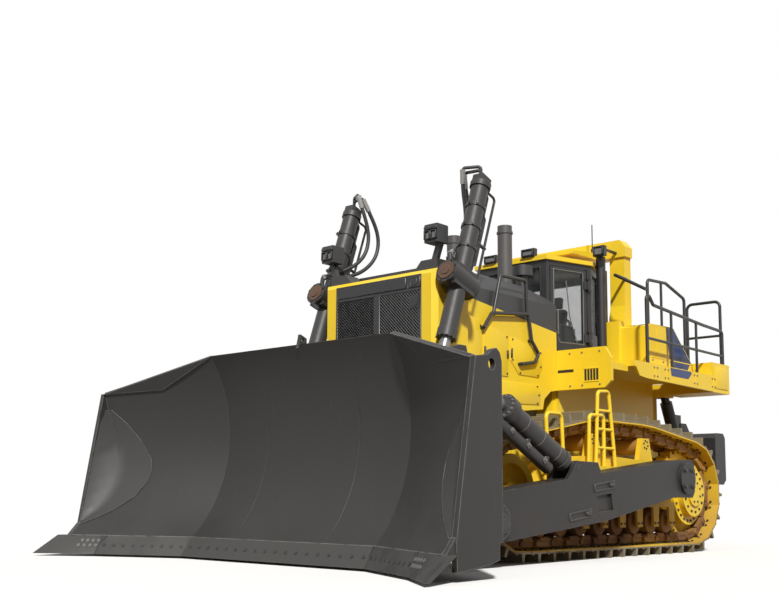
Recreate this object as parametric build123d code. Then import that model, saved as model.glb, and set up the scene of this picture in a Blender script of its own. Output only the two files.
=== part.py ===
from build123d import *
import os
from math import acos, atan2, cos, hypot, pi, radians, sin, tan

# A large crawler bulldozer with a full-U blade and a single-shank ripper.
# Millimetres, +Z up, +X forward, +Y to the machine's left.
# While the pieces are drawn, X is measured from the sprocket axis; the last step moves the
# whole machine so that the origin lies under the middle of its length.

# Overall
FRONT_REACH = 7947.0
BEAM_REAR = -3070.0
ORIGIN_X = (FRONT_REACH + BEAM_REAR) / 2

# Undercarriage
TRACK_Y = 1385.0
SHOE_WIDTH = 710.0
SHOE_COUNT = 41
SHOE_PLATE = 35.0
GROUSER = 105.0
GROUSER_BASE = 62.0
GROUSER_TIP = 34.0
RAIL_HEIGHT = 150.0
RAIL_INNER = 130.0
RAIL_OUTER = 210.0
SPROCKET_Z = 862.0
SPROCKET_WRAP = SPROCKET_Z - GROUSER
IDLER_X = 4524.0
IDLER_Z = 790.0
IDLER_WRAP = IDLER_Z - GROUSER
CARRIER_X = (1439.0, 2800.0)
CARRIER_TOP = 1790.0
CARRIER_WRAP = 330.0
ROLLER_COUNT = 8
ROLLER_FIRST_X = 720.0
ROLLER_PITCH = 460.0
ROLLER_RADIUS = 160.0
CARRIER_RADIUS = 110.0
CHORD_GAP = 20.0
SIDE_PLATE = 36.0
SEAT_GAP = 0.3
SPROCKET_TEETH = 25
SPROCKET_TIP = 640.0
SPROCKET_ROOT = 575.0

# Hull and engine bay
HULL_HALF = 700.0
GUARD_FRONT = 5100.0
GUARD_REAR = 4450.0
GUARD_HALF = 930.0
GUARD_TOP = 3500.0
GRILLE_HALF = 720.0
GRILLE_LOW = 1420.0
GRILLE_HIGH = 3450.0
NOSE_HIGH = 3630.0
NOSE_REAR = 4765.0
NOSE_FRONT = 5010.0
LAMP_LOW = 3810.0
LAMP_HIGH = 4030.0
LAMP_REAR = 4900.0
HOOD_REAR = 2240.0
HOOD_HALF = 800.0
PANEL_LOW = 1890.0
RAIL_RADIUS = 24.0
PANEL_THICK = 50.0

# Cab
CAB_FRONT = 2167.0
CAB_FRONT_HALF = 600.0
CAB_MIDDLE = 1350.0
CAB_MIDDLE_HALF = 830.0
CAB_REAR = 760.0
CAB_REAR_HALF = 640.0
CAB_LOW = 2640.0
CAB_HIGH = 4140.0
ROOF_CAP = 62.0
CAB_WALL = 70.0
GLASS = 12.0
GLASS_GAP = 0.3
DOOR_GAP = 14.0
DOOR_THICK = 56.0
HINGE_OUT = 26.0
HINGE_PIN = 10.0
HINGE_SLEEVE = 22.0
HINGE_HEIGHT = 116.0
HINGE_Z = (3000.0, 3780.0)
PIN_GAP = 0.1

# Roll-over frame, decks and tanks
ROPS_IN = 860.0
ROPS_OUT = 1100.0
ROPS_REAR = 650.0
DECK_EDGE = 1740.0
DECK_REAR = -1226.0
BULKHEAD = 2180.0
REAR_BOX_TOP = 2846.0
TANK_EDGE = 1560.0
TANK_TOP = 3283.0
RAIL_TANK_Y = 1250.0

# Blade
PUSH_PIVOT_X = 1150.0
PUSH_PIVOT_Z = 1040.0
ARM_IN = 1830.0
ARM_OUT = 2130.0
ARM_PIN_X = 5560.0
ARM_PIN_Z = 482.0
ARM_PIN_RADIUS = 100.0
TRUNNION_RADIUS = 170.0
RUN_GAP = 0.5
SIDE_GAP = 6.0
BLADE_HALF = 2950.0
CREASE_Y = 1484.0
WING_TURN = 28.0
MOULD_THICK = 60.0
EDGE_FOOT = (6920.0, 30.0)
MOULD_FOOT = (6760.0, 250.0)
MOULD_DEEP = (6205.0, 1442.0)
MOULD_TOP = (6536.0, 2477.0)
EDGE_THICK = 70.0

# Lift cylinders
LIFT_Y = 1100.0
YOKE_X = 4850.0
YOKE_Z = 3350.0
LIFT_EYE_X = 5620.0
LIFT_EYE_Z = 1150.0
LIFT_BARREL_UP = 1371.0
LIFT_BARREL_DOWN = 776.0
LIFT_BARREL_RADIUS = 112.0
LIFT_ROD_RADIUS = 65.0
LIFT_ROD_LENGTH = 2420.0
LIFT_BALL = 105.0
YOKE_SHAFT = 110.0
YOKE_DISC = 150.0
HOSE_RADIUS = 26.0

# Tilt cylinders
TILT_Y = 1985.0
TILT_REAR_X = 3862.0
TILT_REAR_Z = 1104.0
TILT_EYE_X = 6150.0
TILT_EYE_Z = 2216.0
TILT_BARREL_RADIUS = 122.0
TILT_BARREL_LENGTH = 1500.0
TILT_ROD_RADIUS = 62.0
TILT_ROD_LENGTH = 1500.0
TILT_BALL = 100.0
TILT_PIN = 50.0
TILT_GUARD_DROP = 215.0
TILT_GUARD_RADIUS = 72.0

# Ripper
RIP_ARM_X = -1150.0
RIP_ARM_Z = 950.0
RIP_BEAM_X = -2470.0
RIP_BEAM_HALF = 820.0
RIP_BEAM_Z = 1100.0
RIP_LINK_DX = 80.0
RIP_LINK_DZ = 850.0
RIP_PIN = 70.0
RIP_LIFT_X = -950.0
RIP_LIFT_Z = 2480.0
RIP_EYE_X = -1580.0
RIP_EYE_Z = 1240.0
RIP_LIFT_Y = 760.0
RIP_LINK_Y = 250.0
SHANK_REAR = BEAM_REAR + 120
SHANK_FRONT = BEAM_REAR + 300
SHANK_HALF = 75.0
RIP_BARREL = 1020.0
RIP_ROD = 55.0
RIP_ROD_START = 550.0


def box(x0, x1, y0, y1, z0, z1):
    middle = Pos((x0 + x1) / 2, (y0 + y1) / 2, (z0 + z1) / 2)
    return middle * Box(x1 - x0, y1 - y0, z1 - z0)


def side_prism(points, y0, y1):
    # outline drawn in side view as (x, z)
    wire = Wire.make_polygon([Vector(x, y0, z) for x, z in points], close=True)
    return Solid.extrude(Face(wire), Vector(0, y1 - y0, 0))


def plan_prism(points, z0, z1):
    # outline drawn from above as (x, y)
    wire = Wire.make_polygon([Vector(x, y, z0) for x, y in points], close=True)
    return Solid.extrude(Face(wire), Vector(0, 0, z1 - z0))


def front_prism(points, x0, x1):
    # outline drawn from the front as (y, z)
    wire = Wire.make_polygon([Vector(x0, y, z) for y, z in points], close=True)
    return Solid.extrude(Face(wire), Vector(x1 - x0, 0, 0))


def rod(start, end, radius):
    # round bar between two points
    way = Vector(*end) - Vector(*start)
    disc = Face(Wire.make_circle(radius, Plane(origin=start, z_dir=way)))
    return Solid.extrude(disc, way)


def cross_rod(x, z, y0, y1, radius):
    return rod((x, y0, z), (x, y1, z), radius)


def ball(x, y, z, radius):
    return Pos(x, y, z) * Sphere(radius)


def pipe(points, radius, bend):
    path = FilletPolyline(*points, radius=bend)
    section = Plane(origin=path @ 0, z_dir=path % 0) * Circle(radius)
    return sweep(section, path=path)


def mirrored(shape):
    return mirror(shape, about=Plane.XZ)


def pair(shape):
    return [shape, mirrored(shape)]


def joined(shapes):
    # one solid from pieces that share faces or volume
    whole = shapes[0]
    for shape in shapes[1:]:
        whole = whole + shape
    return whole


def ring_face(outer, inner, y):
    outer_wire = Wire.make_polygon([Vector(x, y, z) for x, z in outer], close=True)
    inner_wire = Wire.make_polygon([Vector(x, y, z) for x, z in inner], close=True)
    return Face(outer_wire, [inner_wire])


def ring_prism(outer, inner, y0, y1):
    return Solid.extrude(ring_face(outer, inner, y0), Vector(0, y1 - y0, 0))


# Track loop: the outer face of the shoe plates runs round four circles.
WRAPS = [
    (0.0, SPROCKET_Z, SPROCKET_WRAP),
    (IDLER_X, IDLER_Z, IDLER_WRAP),
    (CARRIER_X[1], CARRIER_TOP - CARRIER_WRAP, CARRIER_WRAP),
    (CARRIER_X[0], CARRIER_TOP - CARRIER_WRAP, CARRIER_WRAP),
]


def loop_legs():
    # straight legs and arcs of the loop, each with its length
    normals = []
    for index, (x, z, r) in enumerate(WRAPS):
        nx, nz, nr = WRAPS[(index + 1) % len(WRAPS)]
        reach = hypot(nx - x, nz - z)
        normals.append(atan2(nz - z, nx - x) - acos((r - nr) / reach))
    legs = []
    for index, (x, z, r) in enumerate(WRAPS):
        nx, nz, nr = WRAPS[(index + 1) % len(WRAPS)]
        turn = normals[index]
        start = (x + r * cos(turn), z + r * sin(turn))
        end = (nx + nr * cos(turn), nz + nr * sin(turn))
        legs.append(("line", start, end, turn, hypot(end[0] - start[0], end[1] - start[1])))
        swing = (normals[(index + 1) % len(WRAPS)] - turn) % (2 * pi)
        legs.append(("arc", (nx, nz), nr, turn, swing * nr))
    return legs


def loop_point(legs, way):
    # place on the loop and the direction that faces outward there
    for kind, first, second, turn, length in legs:
        if way <= length:
            break
        way -= length
    if kind == "line":
        part = way / length
        x = first[0] + (second[0] - first[0]) * part
        z = first[1] + (second[1] - first[1]) * part
        return x, z, turn
    angle = turn + way / second
    return first[0] + second * cos(angle), first[1] + second * sin(angle), angle


def loop_outlines():
    legs = loop_legs()
    total = sum(leg[4] for leg in legs)
    pitch = total / SHOE_COUNT
    corners = [loop_point(legs, pitch * index) for index in range(SHOE_COUNT)]
    tread = []
    for index, (x, z, turn) in enumerate(corners):
        nx, nz, _ = corners[(index + 1) % SHOE_COUNT]
        length = hypot(nx - x, nz - z)
        ux = (nx - x) / length
        uz = (nz - z) / length
        middle = length * 0.5
        tread.append((x, z))
        for along, out in (
            (middle - GROUSER_BASE / 2, 0.0),
            (middle - GROUSER_TIP / 2, GROUSER),
            (middle + GROUSER_TIP / 2, GROUSER),
            (middle + GROUSER_BASE / 2, 0.0),
        ):
            tread.append((x + ux * along + uz * out, z + uz * along - ux * out))
    inside = []
    chain = []
    for x, z, turn in corners:
        plate = SHOE_PLATE
        deep = SHOE_PLATE + RAIL_HEIGHT
        inside.append((x - plate * cos(turn), z - plate * sin(turn)))
        chain.append((x - deep * cos(turn), z - deep * sin(turn)))
    return tread, inside, chain


def make_track():
    tread, inside, chain = loop_outlines()
    belt = ring_prism(tread, inside, TRACK_Y - SHOE_WIDTH / 2, TRACK_Y + SHOE_WIDTH / 2)
    rail_in = ring_prism(inside, chain, TRACK_Y - RAIL_OUTER, TRACK_Y - RAIL_INNER)
    rail_out = ring_prism(inside, chain, TRACK_Y + RAIL_INNER, TRACK_Y + RAIL_OUTER)
    return belt + rail_in + rail_out


RAIL_TOP = GROUSER + SHOE_PLATE + RAIL_HEIGHT
ROLLER_Z = RAIL_TOP + ROLLER_RADIUS
CARRIER_Z = CARRIER_TOP - SHOE_PLATE - RAIL_HEIGHT - CHORD_GAP - CARRIER_RADIUS
FRAME_IN = TRACK_Y - 265.0
FRAME_OUT = TRACK_Y + 310.0
FRAME_LOW = 650.0
FRAME_HIGH = 1250.0


def make_rollers():
    rollers = []
    for index in range(ROLLER_COUNT):
        x = ROLLER_FIRST_X + ROLLER_PITCH * index
        drum = cross_rod(x, ROLLER_Z, TRACK_Y - 225, TRACK_Y + 225, ROLLER_RADIUS - SEAT_GAP)
        axle = cross_rod(x, ROLLER_Z, FRAME_IN + SIDE_PLATE, FRAME_OUT - SIDE_PLATE, 60)
        rollers.append(drum + axle)
    return rollers


def make_carriers():
    carriers = []
    for x in CARRIER_X:
        carriers.append(cross_rod(x, CARRIER_Z, TRACK_Y - 225, TRACK_Y + 225, CARRIER_RADIUS))
    return carriers


def make_track_frame():
    outline = [
        (760.0, FRAME_LOW), (700.0, 900.0), (820.0, FRAME_HIGH), (2300.0, FRAME_HIGH + 60),
        (3100.0, FRAME_HIGH + 40), (3650.0, 1120.0), (3850.0, 900.0), (3800.0, FRAME_LOW),
    ]
    body = side_prism(outline, FRAME_IN, FRAME_OUT)
    parts = [body]
    for side in (FRAME_IN, FRAME_OUT - SIDE_PLATE):
        parts.append(box(3700, IDLER_X + 180, side, side + SIDE_PLATE, IDLER_Z - 90, IDLER_Z + 90))
    for index in range(ROLLER_COUNT):
        x = ROLLER_FIRST_X + ROLLER_PITCH * index
        for side in (FRAME_IN, FRAME_OUT - SIDE_PLATE):
            low = ROLLER_Z - 70
            high = FRAME_LOW + 40
            outline = [(x - 70, low), (x + 70, low), (x + 90, high), (x - 90, high)]
            post = side_prism(outline, side, side + SIDE_PLATE)
            parts.append(post)
    last = ROLLER_FIRST_X + ROLLER_PITCH * (ROLLER_COUNT - 1)
    parts.append(box(ROLLER_FIRST_X - 90, last + 60, FRAME_IN, FRAME_OUT, FRAME_LOW, FRAME_LOW + 60))
    for x in CARRIER_X:
        foot = FRAME_HIGH - 20
        bracket = side_prism([(x - 200, foot), (x + 200, foot), (x + 95, CARRIER_Z + 110),
                              (x - 95, CARRIER_Z + 110)],
                             FRAME_OUT - 75, FRAME_OUT)
        parts.append(bracket)
        parts.append(cross_rod(x, CARRIER_Z, TRACK_Y + 225, FRAME_OUT - 40, 60))
    parts.append(cross_rod(PUSH_PIVOT_X, PUSH_PIVOT_Z, FRAME_OUT - 20, FRAME_OUT + 60, TRUNNION_RADIUS + 80))
    parts.append(cross_rod(PUSH_PIVOT_X, PUSH_PIVOT_Z, FRAME_OUT, ARM_OUT - 60, TRUNNION_RADIUS))
    return joined(parts)


def make_idler():
    tread = IDLER_WRAP - SHOE_PLATE - RAIL_HEIGHT - CHORD_GAP
    wheel = cross_rod(IDLER_X, IDLER_Z, TRACK_Y - 225, TRACK_Y + 225, tread)
    groove = cross_rod(IDLER_X, IDLER_Z, TRACK_Y + 120, TRACK_Y + 226, tread - 110)
    hub = cross_rod(IDLER_X, IDLER_Z, TRACK_Y + 120, TRACK_Y + 225, 150)
    other = cross_rod(IDLER_X, IDLER_Z, TRACK_Y - 226, TRACK_Y - 120, tread - 110)
    boss = cross_rod(IDLER_X, IDLER_Z, TRACK_Y - 225, TRACK_Y - 120, 150)
    axle = cross_rod(IDLER_X, IDLER_Z, FRAME_IN + SIDE_PLATE, FRAME_OUT - SIDE_PLATE, 90)
    return wheel - groove - other + hub + boss + axle


def make_sprocket():
    points = []
    step = 2 * pi / SPROCKET_TEETH
    for index in range(SPROCKET_TEETH):
        for part, radius in ((0.0, SPROCKET_ROOT), (0.3, SPROCKET_ROOT), (0.52, SPROCKET_TIP),
                             (0.78, SPROCKET_TIP)):
            angle = step * (index + part)
            points.append((radius * cos(angle), SPROCKET_Z + radius * sin(angle)))
    return side_prism(points, TRACK_Y - 80, TRACK_Y + 80)


def make_final_drive():
    outer = cross_rod(0, SPROCKET_Z, TRACK_Y + 80, TRACK_Y + 210, 470)
    cover = cross_rod(0, SPROCKET_Z, TRACK_Y + 210, TRACK_Y + 300, 350)
    cap = cross_rod(0, SPROCKET_Z, TRACK_Y + 300, TRACK_Y + 330, 200)
    return outer + cover + cap


def make_final_case():
    flange = cross_rod(0, SPROCKET_Z, TRACK_Y - 260, TRACK_Y - 80, 450)
    case = cross_rod(0, SPROCKET_Z, HULL_HALF, TRACK_Y - 260, 520)
    return flange + case


def make_hull():
    outline = [
        (-700.0, 900.0), (-500.0, 655.0), (4300.0, 655.0), (4900.0, 900.0), (4900.0, 1300.0),
        (4400.0, 1500.0), (2300.0, 1500.0), (2200.0, 2240.0), (-700.0, 2240.0),
    ]
    return side_prism(outline, -HULL_HALF, HULL_HALF)


def make_cross_shafts():
    pieces = []
    pieces.append(cross_rod(1900, 900, HULL_HALF, FRAME_IN, 150))
    pieces.append(box(3200, 3460, HULL_HALF, FRAME_IN, 880, 1120))
    return pieces + [mirrored(piece) for piece in pieces]


def make_guard():
    outline = [
        (GUARD_REAR, 1500.0), (GUARD_FRONT - 200, 1300.0), (GUARD_FRONT, 1300.0),
        (GUARD_FRONT, GUARD_TOP - 60),
        (GUARD_FRONT - 60, GUARD_TOP), (GUARD_REAR, GUARD_TOP),
    ]
    shell = side_prism(outline, -GUARD_HALF, GUARD_HALF)
    hollow = box(GUARD_REAR + 40, GUARD_FRONT - 80, -GUARD_HALF + 60, GUARD_HALF - 60, 1560, GUARD_TOP - 60)
    window = box(GUARD_FRONT - 100, GUARD_FRONT + 10, -GRILLE_HALF, GRILLE_HALF, GRILLE_LOW, GRILLE_HIGH)
    shell = shell - hollow - window
    shell = shell + box(4900, GUARD_FRONT - 30, -GUARD_HALF, GUARD_HALF, 1000, 1300)
    for side in (1, -1):
        edge = side * (GUARD_HALF + 10)
        corner = [(GUARD_FRONT + 10, edge), (GUARD_FRONT + 10, side * (GUARD_HALF - 70)),
                  (GUARD_FRONT - 80, edge)]
        shell = shell - plan_prism(corner, 900, GUARD_TOP + 10)
        boss = cross_rod(YOKE_X, YOKE_Z, side * (GUARD_HALF - 20), side * (GUARD_HALF + 12), YOKE_SHAFT + 60)
        bore = cross_rod(YOKE_X, YOKE_Z, side * (GUARD_HALF - 45), side * (GUARD_HALF + 20),
                         YOKE_SHAFT + RUN_GAP)
        shell = shell + boss - bore
    return shell


def make_grille():
    panel = box(GUARD_FRONT - 60, GUARD_FRONT - 10, -GRILLE_HALF, GRILLE_HALF, GRILLE_LOW, GRILLE_HIGH)
    face = []
    low = GRILLE_LOW + 60
    high = GRILLE_HIGH - 190
    count = 7
    pitch = (GRILLE_HALF - 100.0) / count
    for index in range(count):
        y = 55 + pitch * index
        for side in (1, -1):
            face.append(box(GUARD_FRONT - 70, GUARD_FRONT, min(side * y, side * (y + pitch - 26)),
                            max(side * y, side * (y + pitch - 26)), low, high))
    for slot in face:
        panel = panel - slot
    return panel


def make_hood():
    outline = [
        (HOOD_REAR, 3050.0), (HOOD_REAR, 3480.0), (2420.0, 3540.0), (2900.0, 3650.0), (3900.0, 3670.0),
        (GUARD_REAR + 300, 3620.0), (GUARD_REAR + 300, GUARD_TOP), (GUARD_REAR, GUARD_TOP),
        (GUARD_REAR, 3290.0),
    ]
    side_view = side_prism(outline, -HOOD_HALF, HOOD_HALF)
    end_view = [
        (-HOOD_HALF, 3000.0), (HOOD_HALF, 3000.0), (HOOD_HALF, 3420.0), (640.0, 3640.0), (560.0, 3690.0),
        (-560.0, 3690.0), (-640.0, 3640.0), (-HOOD_HALF, 3420.0),
    ]
    return side_view & front_prism(end_view, HOOD_REAR - 10, GUARD_REAR + 310)


def make_side_panel():
    # engine side with an arch over the rear of the track
    outline = [
        (HOOD_REAR, 2240.0), (2400.0, 2215.0), (2560.0, 2100.0), (2600.0, 1956.0), (3243.0, PANEL_LOW),
        (GUARD_REAR, PANEL_LOW), (GUARD_REAR, 3290.0), (HOOD_REAR, 3050.0),
    ]
    return side_prism(outline, HOOD_HALF - PANEL_THICK, HOOD_HALF)


def make_hood_rail():
    # bent tube along the engine side, with a taller loop above it
    y = HOOD_HALF + 50
    lower = pipe([(4016, y, 2904), (3835, y, 3116), (3004, y, 3208), (2931, y, 2856), (2763, y, 2693),
                  (2857, y, 2571),
                  (3183, y, 2516)], RAIL_RADIUS, 50)
    upper = pipe([(3800, y, 3120), (3640, y, 3640), (3060, y, 3660), (3030, y, 3205)], RAIL_RADIUS, 60)
    whole = lower + upper
    for x, z in ((4016, 2904), (3183, 2516), (2931, 2856)):
        whole = whole + rod((x, HOOD_HALF, z), (x, y, z), RAIL_RADIUS)
    return whole


def make_engine():
    return box(HOOD_REAR + 60, GUARD_REAR - 60, -480, 480, 1500, 3000)


def make_radiator():
    return box(GUARD_REAR + 120, GUARD_FRONT - 200, -GUARD_HALF + 60, GUARD_HALF - 60, 1560, GUARD_TOP - 200)


def make_exhaust(side):
    x = 2955.0
    y = side * 444
    stack = rod((x, y, 3640), (x, y, 4492), 100) + rod((x, y, 4380), (x, y, 4410), 112)
    return stack - rod((x, y, 4200), (x, y, 4500), 88) - make_hood()


def make_precleaner(side):
    x = 2618.0
    y = side * 500
    neck = rod((x, y, 3540), (x, y, 3830), 75)
    drum = rod((x, y, 3830), (x, y, 3970), 145)
    return neck + drum + rod((x, y, 3970), (x, y, 3995), 60) - make_hood()


def make_hood_lamp():
    # dark corner box on the guard with a work lamp on a leaning leg
    nose = front_prism([(520, GUARD_TOP), (900, GUARD_TOP), (890, NOSE_HIGH), (640, NOSE_HIGH)], NOSE_REAR,
                       NOSE_FRONT)
    leg = front_prism([(790, NOSE_HIGH - 20), (870, NOSE_HIGH - 20), (950, LAMP_LOW + 20),
                       (870, LAMP_LOW + 20)],
                      LAMP_REAR + 40, LAMP_REAR + 100)
    lamp = box(LAMP_REAR, GUARD_FRONT + 10, 772, 975, LAMP_LOW, LAMP_HIGH)
    return nose + leg + lamp


def cab_plan(inset):
    # corner points of the cab from above, moved inward by a wall thickness
    front = CAB_FRONT - inset
    rear = CAB_REAR + inset
    return [
        (front, CAB_FRONT_HALF - inset * 0.76), (CAB_MIDDLE, CAB_MIDDLE_HALF - inset * 1.04),
        (rear, CAB_REAR_HALF - inset * 0.75), (rear, -CAB_REAR_HALF + inset * 0.75),
        (CAB_MIDDLE, -CAB_MIDDLE_HALF + inset * 1.04), (front, -CAB_FRONT_HALF + inset * 0.76),
    ]


DOOR_X = CAB_MIDDLE - CAB_FRONT
DOOR_Y = CAB_MIDDLE_HALF - CAB_FRONT_HALF
DOOR_LENGTH = hypot(DOOR_X, DOOR_Y)
QUARTER_X = CAB_REAR - CAB_MIDDLE
QUARTER_Y = CAB_REAR_HALF - CAB_MIDDLE_HALF
QUARTER_LENGTH = hypot(QUARTER_X, QUARTER_Y)


def wall_prism(points, start, way, thick_in, thick_out):
    # outline drawn on a cab wall as (distance along the wall, z); grows inward and outward
    length = hypot(way[0], way[1])
    ux = way[0] / length
    uy = way[1] / length
    ox = uy
    oy = -ux
    corners = []
    for along, z in points:
        corners.append(Vector(start[0] + ux * along - ox * thick_in, start[1] + uy * along - oy * thick_in,
                              z))
    wire = Wire.make_polygon(corners, close=True)
    depth = thick_in + thick_out
    return Solid.extrude(Face(wire), Vector(ox * depth, oy * depth, 0))


def door_outline(gap):
    low = 2720.0 + gap
    high = CAB_HIGH - 70 - gap
    first = 60.0 + gap
    last = DOOR_LENGTH - 70.0 - gap
    return [(first, low + 420), (first + 160, low), (last, low), (last, high), (first, high)]


def door_window(gap):
    low = 2960.0 + gap
    high = CAB_HIGH - 115 - gap
    first = 60.0 + DOOR_GAP + 60 + gap
    last = DOOR_LENGTH - 70.0 - DOOR_GAP - 60 - gap
    return [(first, low + 240), (first + 100, low), (last, low), (last, high), (first, high)]


DOOR_START = (CAB_FRONT, CAB_FRONT_HALF)
DOOR_WAY = (DOOR_X, DOOR_Y)
HINGE_ALONG = DOOR_LENGTH - 62.0


def hinge_point(z):
    ux = DOOR_X / DOOR_LENGTH
    uy = DOOR_Y / DOOR_LENGTH
    return (CAB_FRONT + ux * HINGE_ALONG + uy * HINGE_OUT,
            CAB_FRONT_HALF + uy * HINGE_ALONG - ux * HINGE_OUT, z)


def door_hinge_frame(z):
    # two lugs on the pillar with a pin between them
    low = rectangle(HINGE_ALONG - 14, HINGE_ALONG + 42, z - 40, z - 2)
    high = rectangle(HINGE_ALONG - 14, HINGE_ALONG + 42, z + HINGE_HEIGHT + 2, z + HINGE_HEIGHT + 40)
    lugs = wall_prism(low, DOOR_START, DOOR_WAY, 0, 40) + wall_prism(high, DOOR_START, DOOR_WAY, 0, 40)
    return lugs + rod(hinge_point(z - 30), hinge_point(z + HINGE_HEIGHT + 30), HINGE_PIN)


def door_hinge_leaf(z):
    # sleeve on the door that turns about the pin
    leaf = wall_prism(rectangle(HINGE_ALONG - 90, HINGE_ALONG, z, z + HINGE_HEIGHT), DOOR_START, DOOR_WAY,
                      0, HINGE_OUT)
    sleeve = rod(hinge_point(z), hinge_point(z + HINGE_HEIGHT), HINGE_SLEEVE)
    bore = rod(hinge_point(z - 5), hinge_point(z + HINGE_HEIGHT + 5), HINGE_PIN + PIN_GAP)
    return leaf + sleeve - bore


def rectangle(first, last, low, high):
    return [(first, low), (last, low), (last, high), (first, high)]


QUARTER_START = (CAB_MIDDLE, CAB_MIDDLE_HALF)
QUARTER_WAY = (QUARTER_X, QUARTER_Y)


def quarter_window(gap):
    low = 3150 + gap
    high = CAB_HIGH - 115 - gap
    last = QUARTER_LENGTH - 90 - gap
    return [(90 + gap, low), (last, low), (last, high), (90 + gap, high)]


WINDSCREEN_HALF = 500.0
WINDSCREEN_LOW = 3280.0
WINDSCREEN_HIGH = CAB_HIGH - 100
REAR_WINDOW_LOW = 3150.0
REAR_WINDOW_HIGH = CAB_HIGH - 130
REAR_WINDOW_HALF = 540.0


def make_cab():
    room = plan_prism(cab_plan(CAB_WALL), CAB_LOW + 60, CAB_HIGH - 50)
    shell = plan_prism(cab_plan(0.0), CAB_LOW, CAB_HIGH) - room
    half = WINDSCREEN_HALF
    shell = shell - box(CAB_FRONT - 150, CAB_FRONT + 20, -half, half, WINDSCREEN_LOW, WINDSCREEN_HIGH)
    half = REAR_WINDOW_HALF
    shell = shell - box(CAB_REAR - 20, CAB_REAR + 150, -half, half, REAR_WINDOW_LOW, REAR_WINDOW_HIGH)
    doorway = wall_prism(door_outline(0.0), DOOR_START, DOOR_WAY, 120, 40)
    quarter = wall_prism(quarter_window(0.0), QUARTER_START, QUARTER_WAY, 120, 40)
    for cut in (doorway, quarter):
        shell = shell - cut - mirrored(cut)
    for z in HINGE_Z:
        hinge = door_hinge_frame(z)
        shell = shell + hinge + mirrored(hinge)
    return shell


def make_cab_roof():
    return plan_prism(cab_plan(-40.0), CAB_HIGH, CAB_HIGH + ROOF_CAP)


def make_cab_glass():
    low = WINDSCREEN_LOW + GLASS_GAP
    high = WINDSCREEN_HIGH - GLASS_GAP
    half = WINDSCREEN_HALF - GLASS_GAP
    front = box(CAB_FRONT - 40, CAB_FRONT - 40 + GLASS, -half, half, low, high)
    half = REAR_WINDOW_HALF - GLASS_GAP
    low = REAR_WINDOW_LOW + GLASS_GAP
    high = REAR_WINDOW_HIGH - GLASS_GAP
    rear = box(CAB_REAR + 40 - GLASS, CAB_REAR + 40, -half, half, low, high)
    quarter = wall_prism(quarter_window(GLASS_GAP), QUARTER_START, QUARTER_WAY, 40, GLASS - 40)
    return [front, rear, quarter, mirrored(quarter)]


def make_door():
    panel = wall_prism(door_outline(DOOR_GAP), DOOR_START, DOOR_WAY, DOOR_THICK, 0)
    panel = panel - wall_prism(door_window(0.0), DOOR_START, DOOR_WAY, DOOR_THICK + 20, 20)
    for z in HINGE_Z:
        panel = panel + door_hinge_leaf(z)
    return panel


def make_door_glass():
    return wall_prism(door_window(GLASS_GAP), DOOR_START, DOOR_WAY, 34, GLASS - 34)


def make_seat():
    base = box(1130, 1450, -220, 220, CAB_LOW + 60, CAB_LOW + 430)
    cushion = box(1060, 1620, -270, 270, CAB_LOW + 430, CAB_LOW + 560)
    low = CAB_LOW + 560
    high = CAB_LOW + 1180
    back = side_prism([(1060, low), (1190, low), (1080, high), (980, high)], -260, 260)
    return base + cushion + back


def make_console():
    floor = CAB_LOW + 60
    front = box(1780, 1960, -330, 330, floor, floor + 700)
    left = box(1200, 1620, 330, 470, floor, floor + 560)
    right = box(1200, 1620, -470, -330, floor, floor + 560)
    return [front, left, right]


def make_rops():
    section = [(-1130, 4330), (1130, 4330), (1130, 4480), (1045, 4590), (-1045, 4590), (-1130, 4480)]
    beam = front_prism(section, ROPS_REAR, 870)
    visor = side_prism([(870, 4420), (1700, 4330), (1700, 4290), (870, 4300)], -760, 760)
    foot = box(ROPS_REAR, 1040, ROPS_IN, ROPS_OUT, CAB_LOW, 3340)
    outline = [(ROPS_REAR, 3340), (900, 3340), (840, 3600), (840, 4360), (ROPS_REAR, 4360)]
    post = side_prism(outline, ROPS_IN, ROPS_OUT)
    pieces = [beam, visor]
    for piece in (foot, post):
        pieces = pieces + pair(piece)
    return joined(pieces)


def make_aerial():
    x = 1060.0
    y = 700.0
    return rod((x, y, 4380), (x, y, 4470), 22) + rod((x, y, 4460), (x, y, 4837), 8) - make_rops()


def make_platform():
    edge = DECK_EDGE
    deck = box(-600, 1790, HULL_HALF, edge, CAB_LOW - 80, CAB_LOW) + box(DECK_REAR, -590, 930, edge,
                                                                         CAB_LOW - 80, CAB_LOW)
    skirt = side_prism([(1640, 2440), (1790, CAB_LOW - 20), (1790, CAB_LOW), (DECK_REAR, CAB_LOW),
                        (DECK_REAR, 2389),
                        (1424, 2420)], edge - 50, edge)
    wall = front_prism([(HOOD_HALF, 2240), (1546, 2240), (1640, 2330), (1640, CAB_LOW), (1546, 2797),
                        (HOOD_HALF, 2797)],
                       BULKHEAD, HOOD_REAR - 2)
    for index in range(5):
        y = 1240 + 45 * index
        wall = wall - box(BULKHEAD - 10, HOOD_REAR + 10, y, y + 22, 2350, 2500)
    wall = wall - box(BULKHEAD + 20, HOOD_REAR + 10, 890, 1090, 2545, 2575)
    step = box(1780, HOOD_REAR - 2, HULL_HALF, 1640, 2490, CAB_LOW - 60)
    support = box(-600, 2150, HULL_HALF, HULL_HALF + 60, 1900, CAB_LOW - 80)
    rear = box(DECK_REAR, -634, 930, edge, 2389, 2814) + box(DECK_REAR - 14, -634, 930, edge, 2814,
                                                             REAR_BOX_TOP)
    return joined([deck, skirt, wall, step, support, rear])


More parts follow.
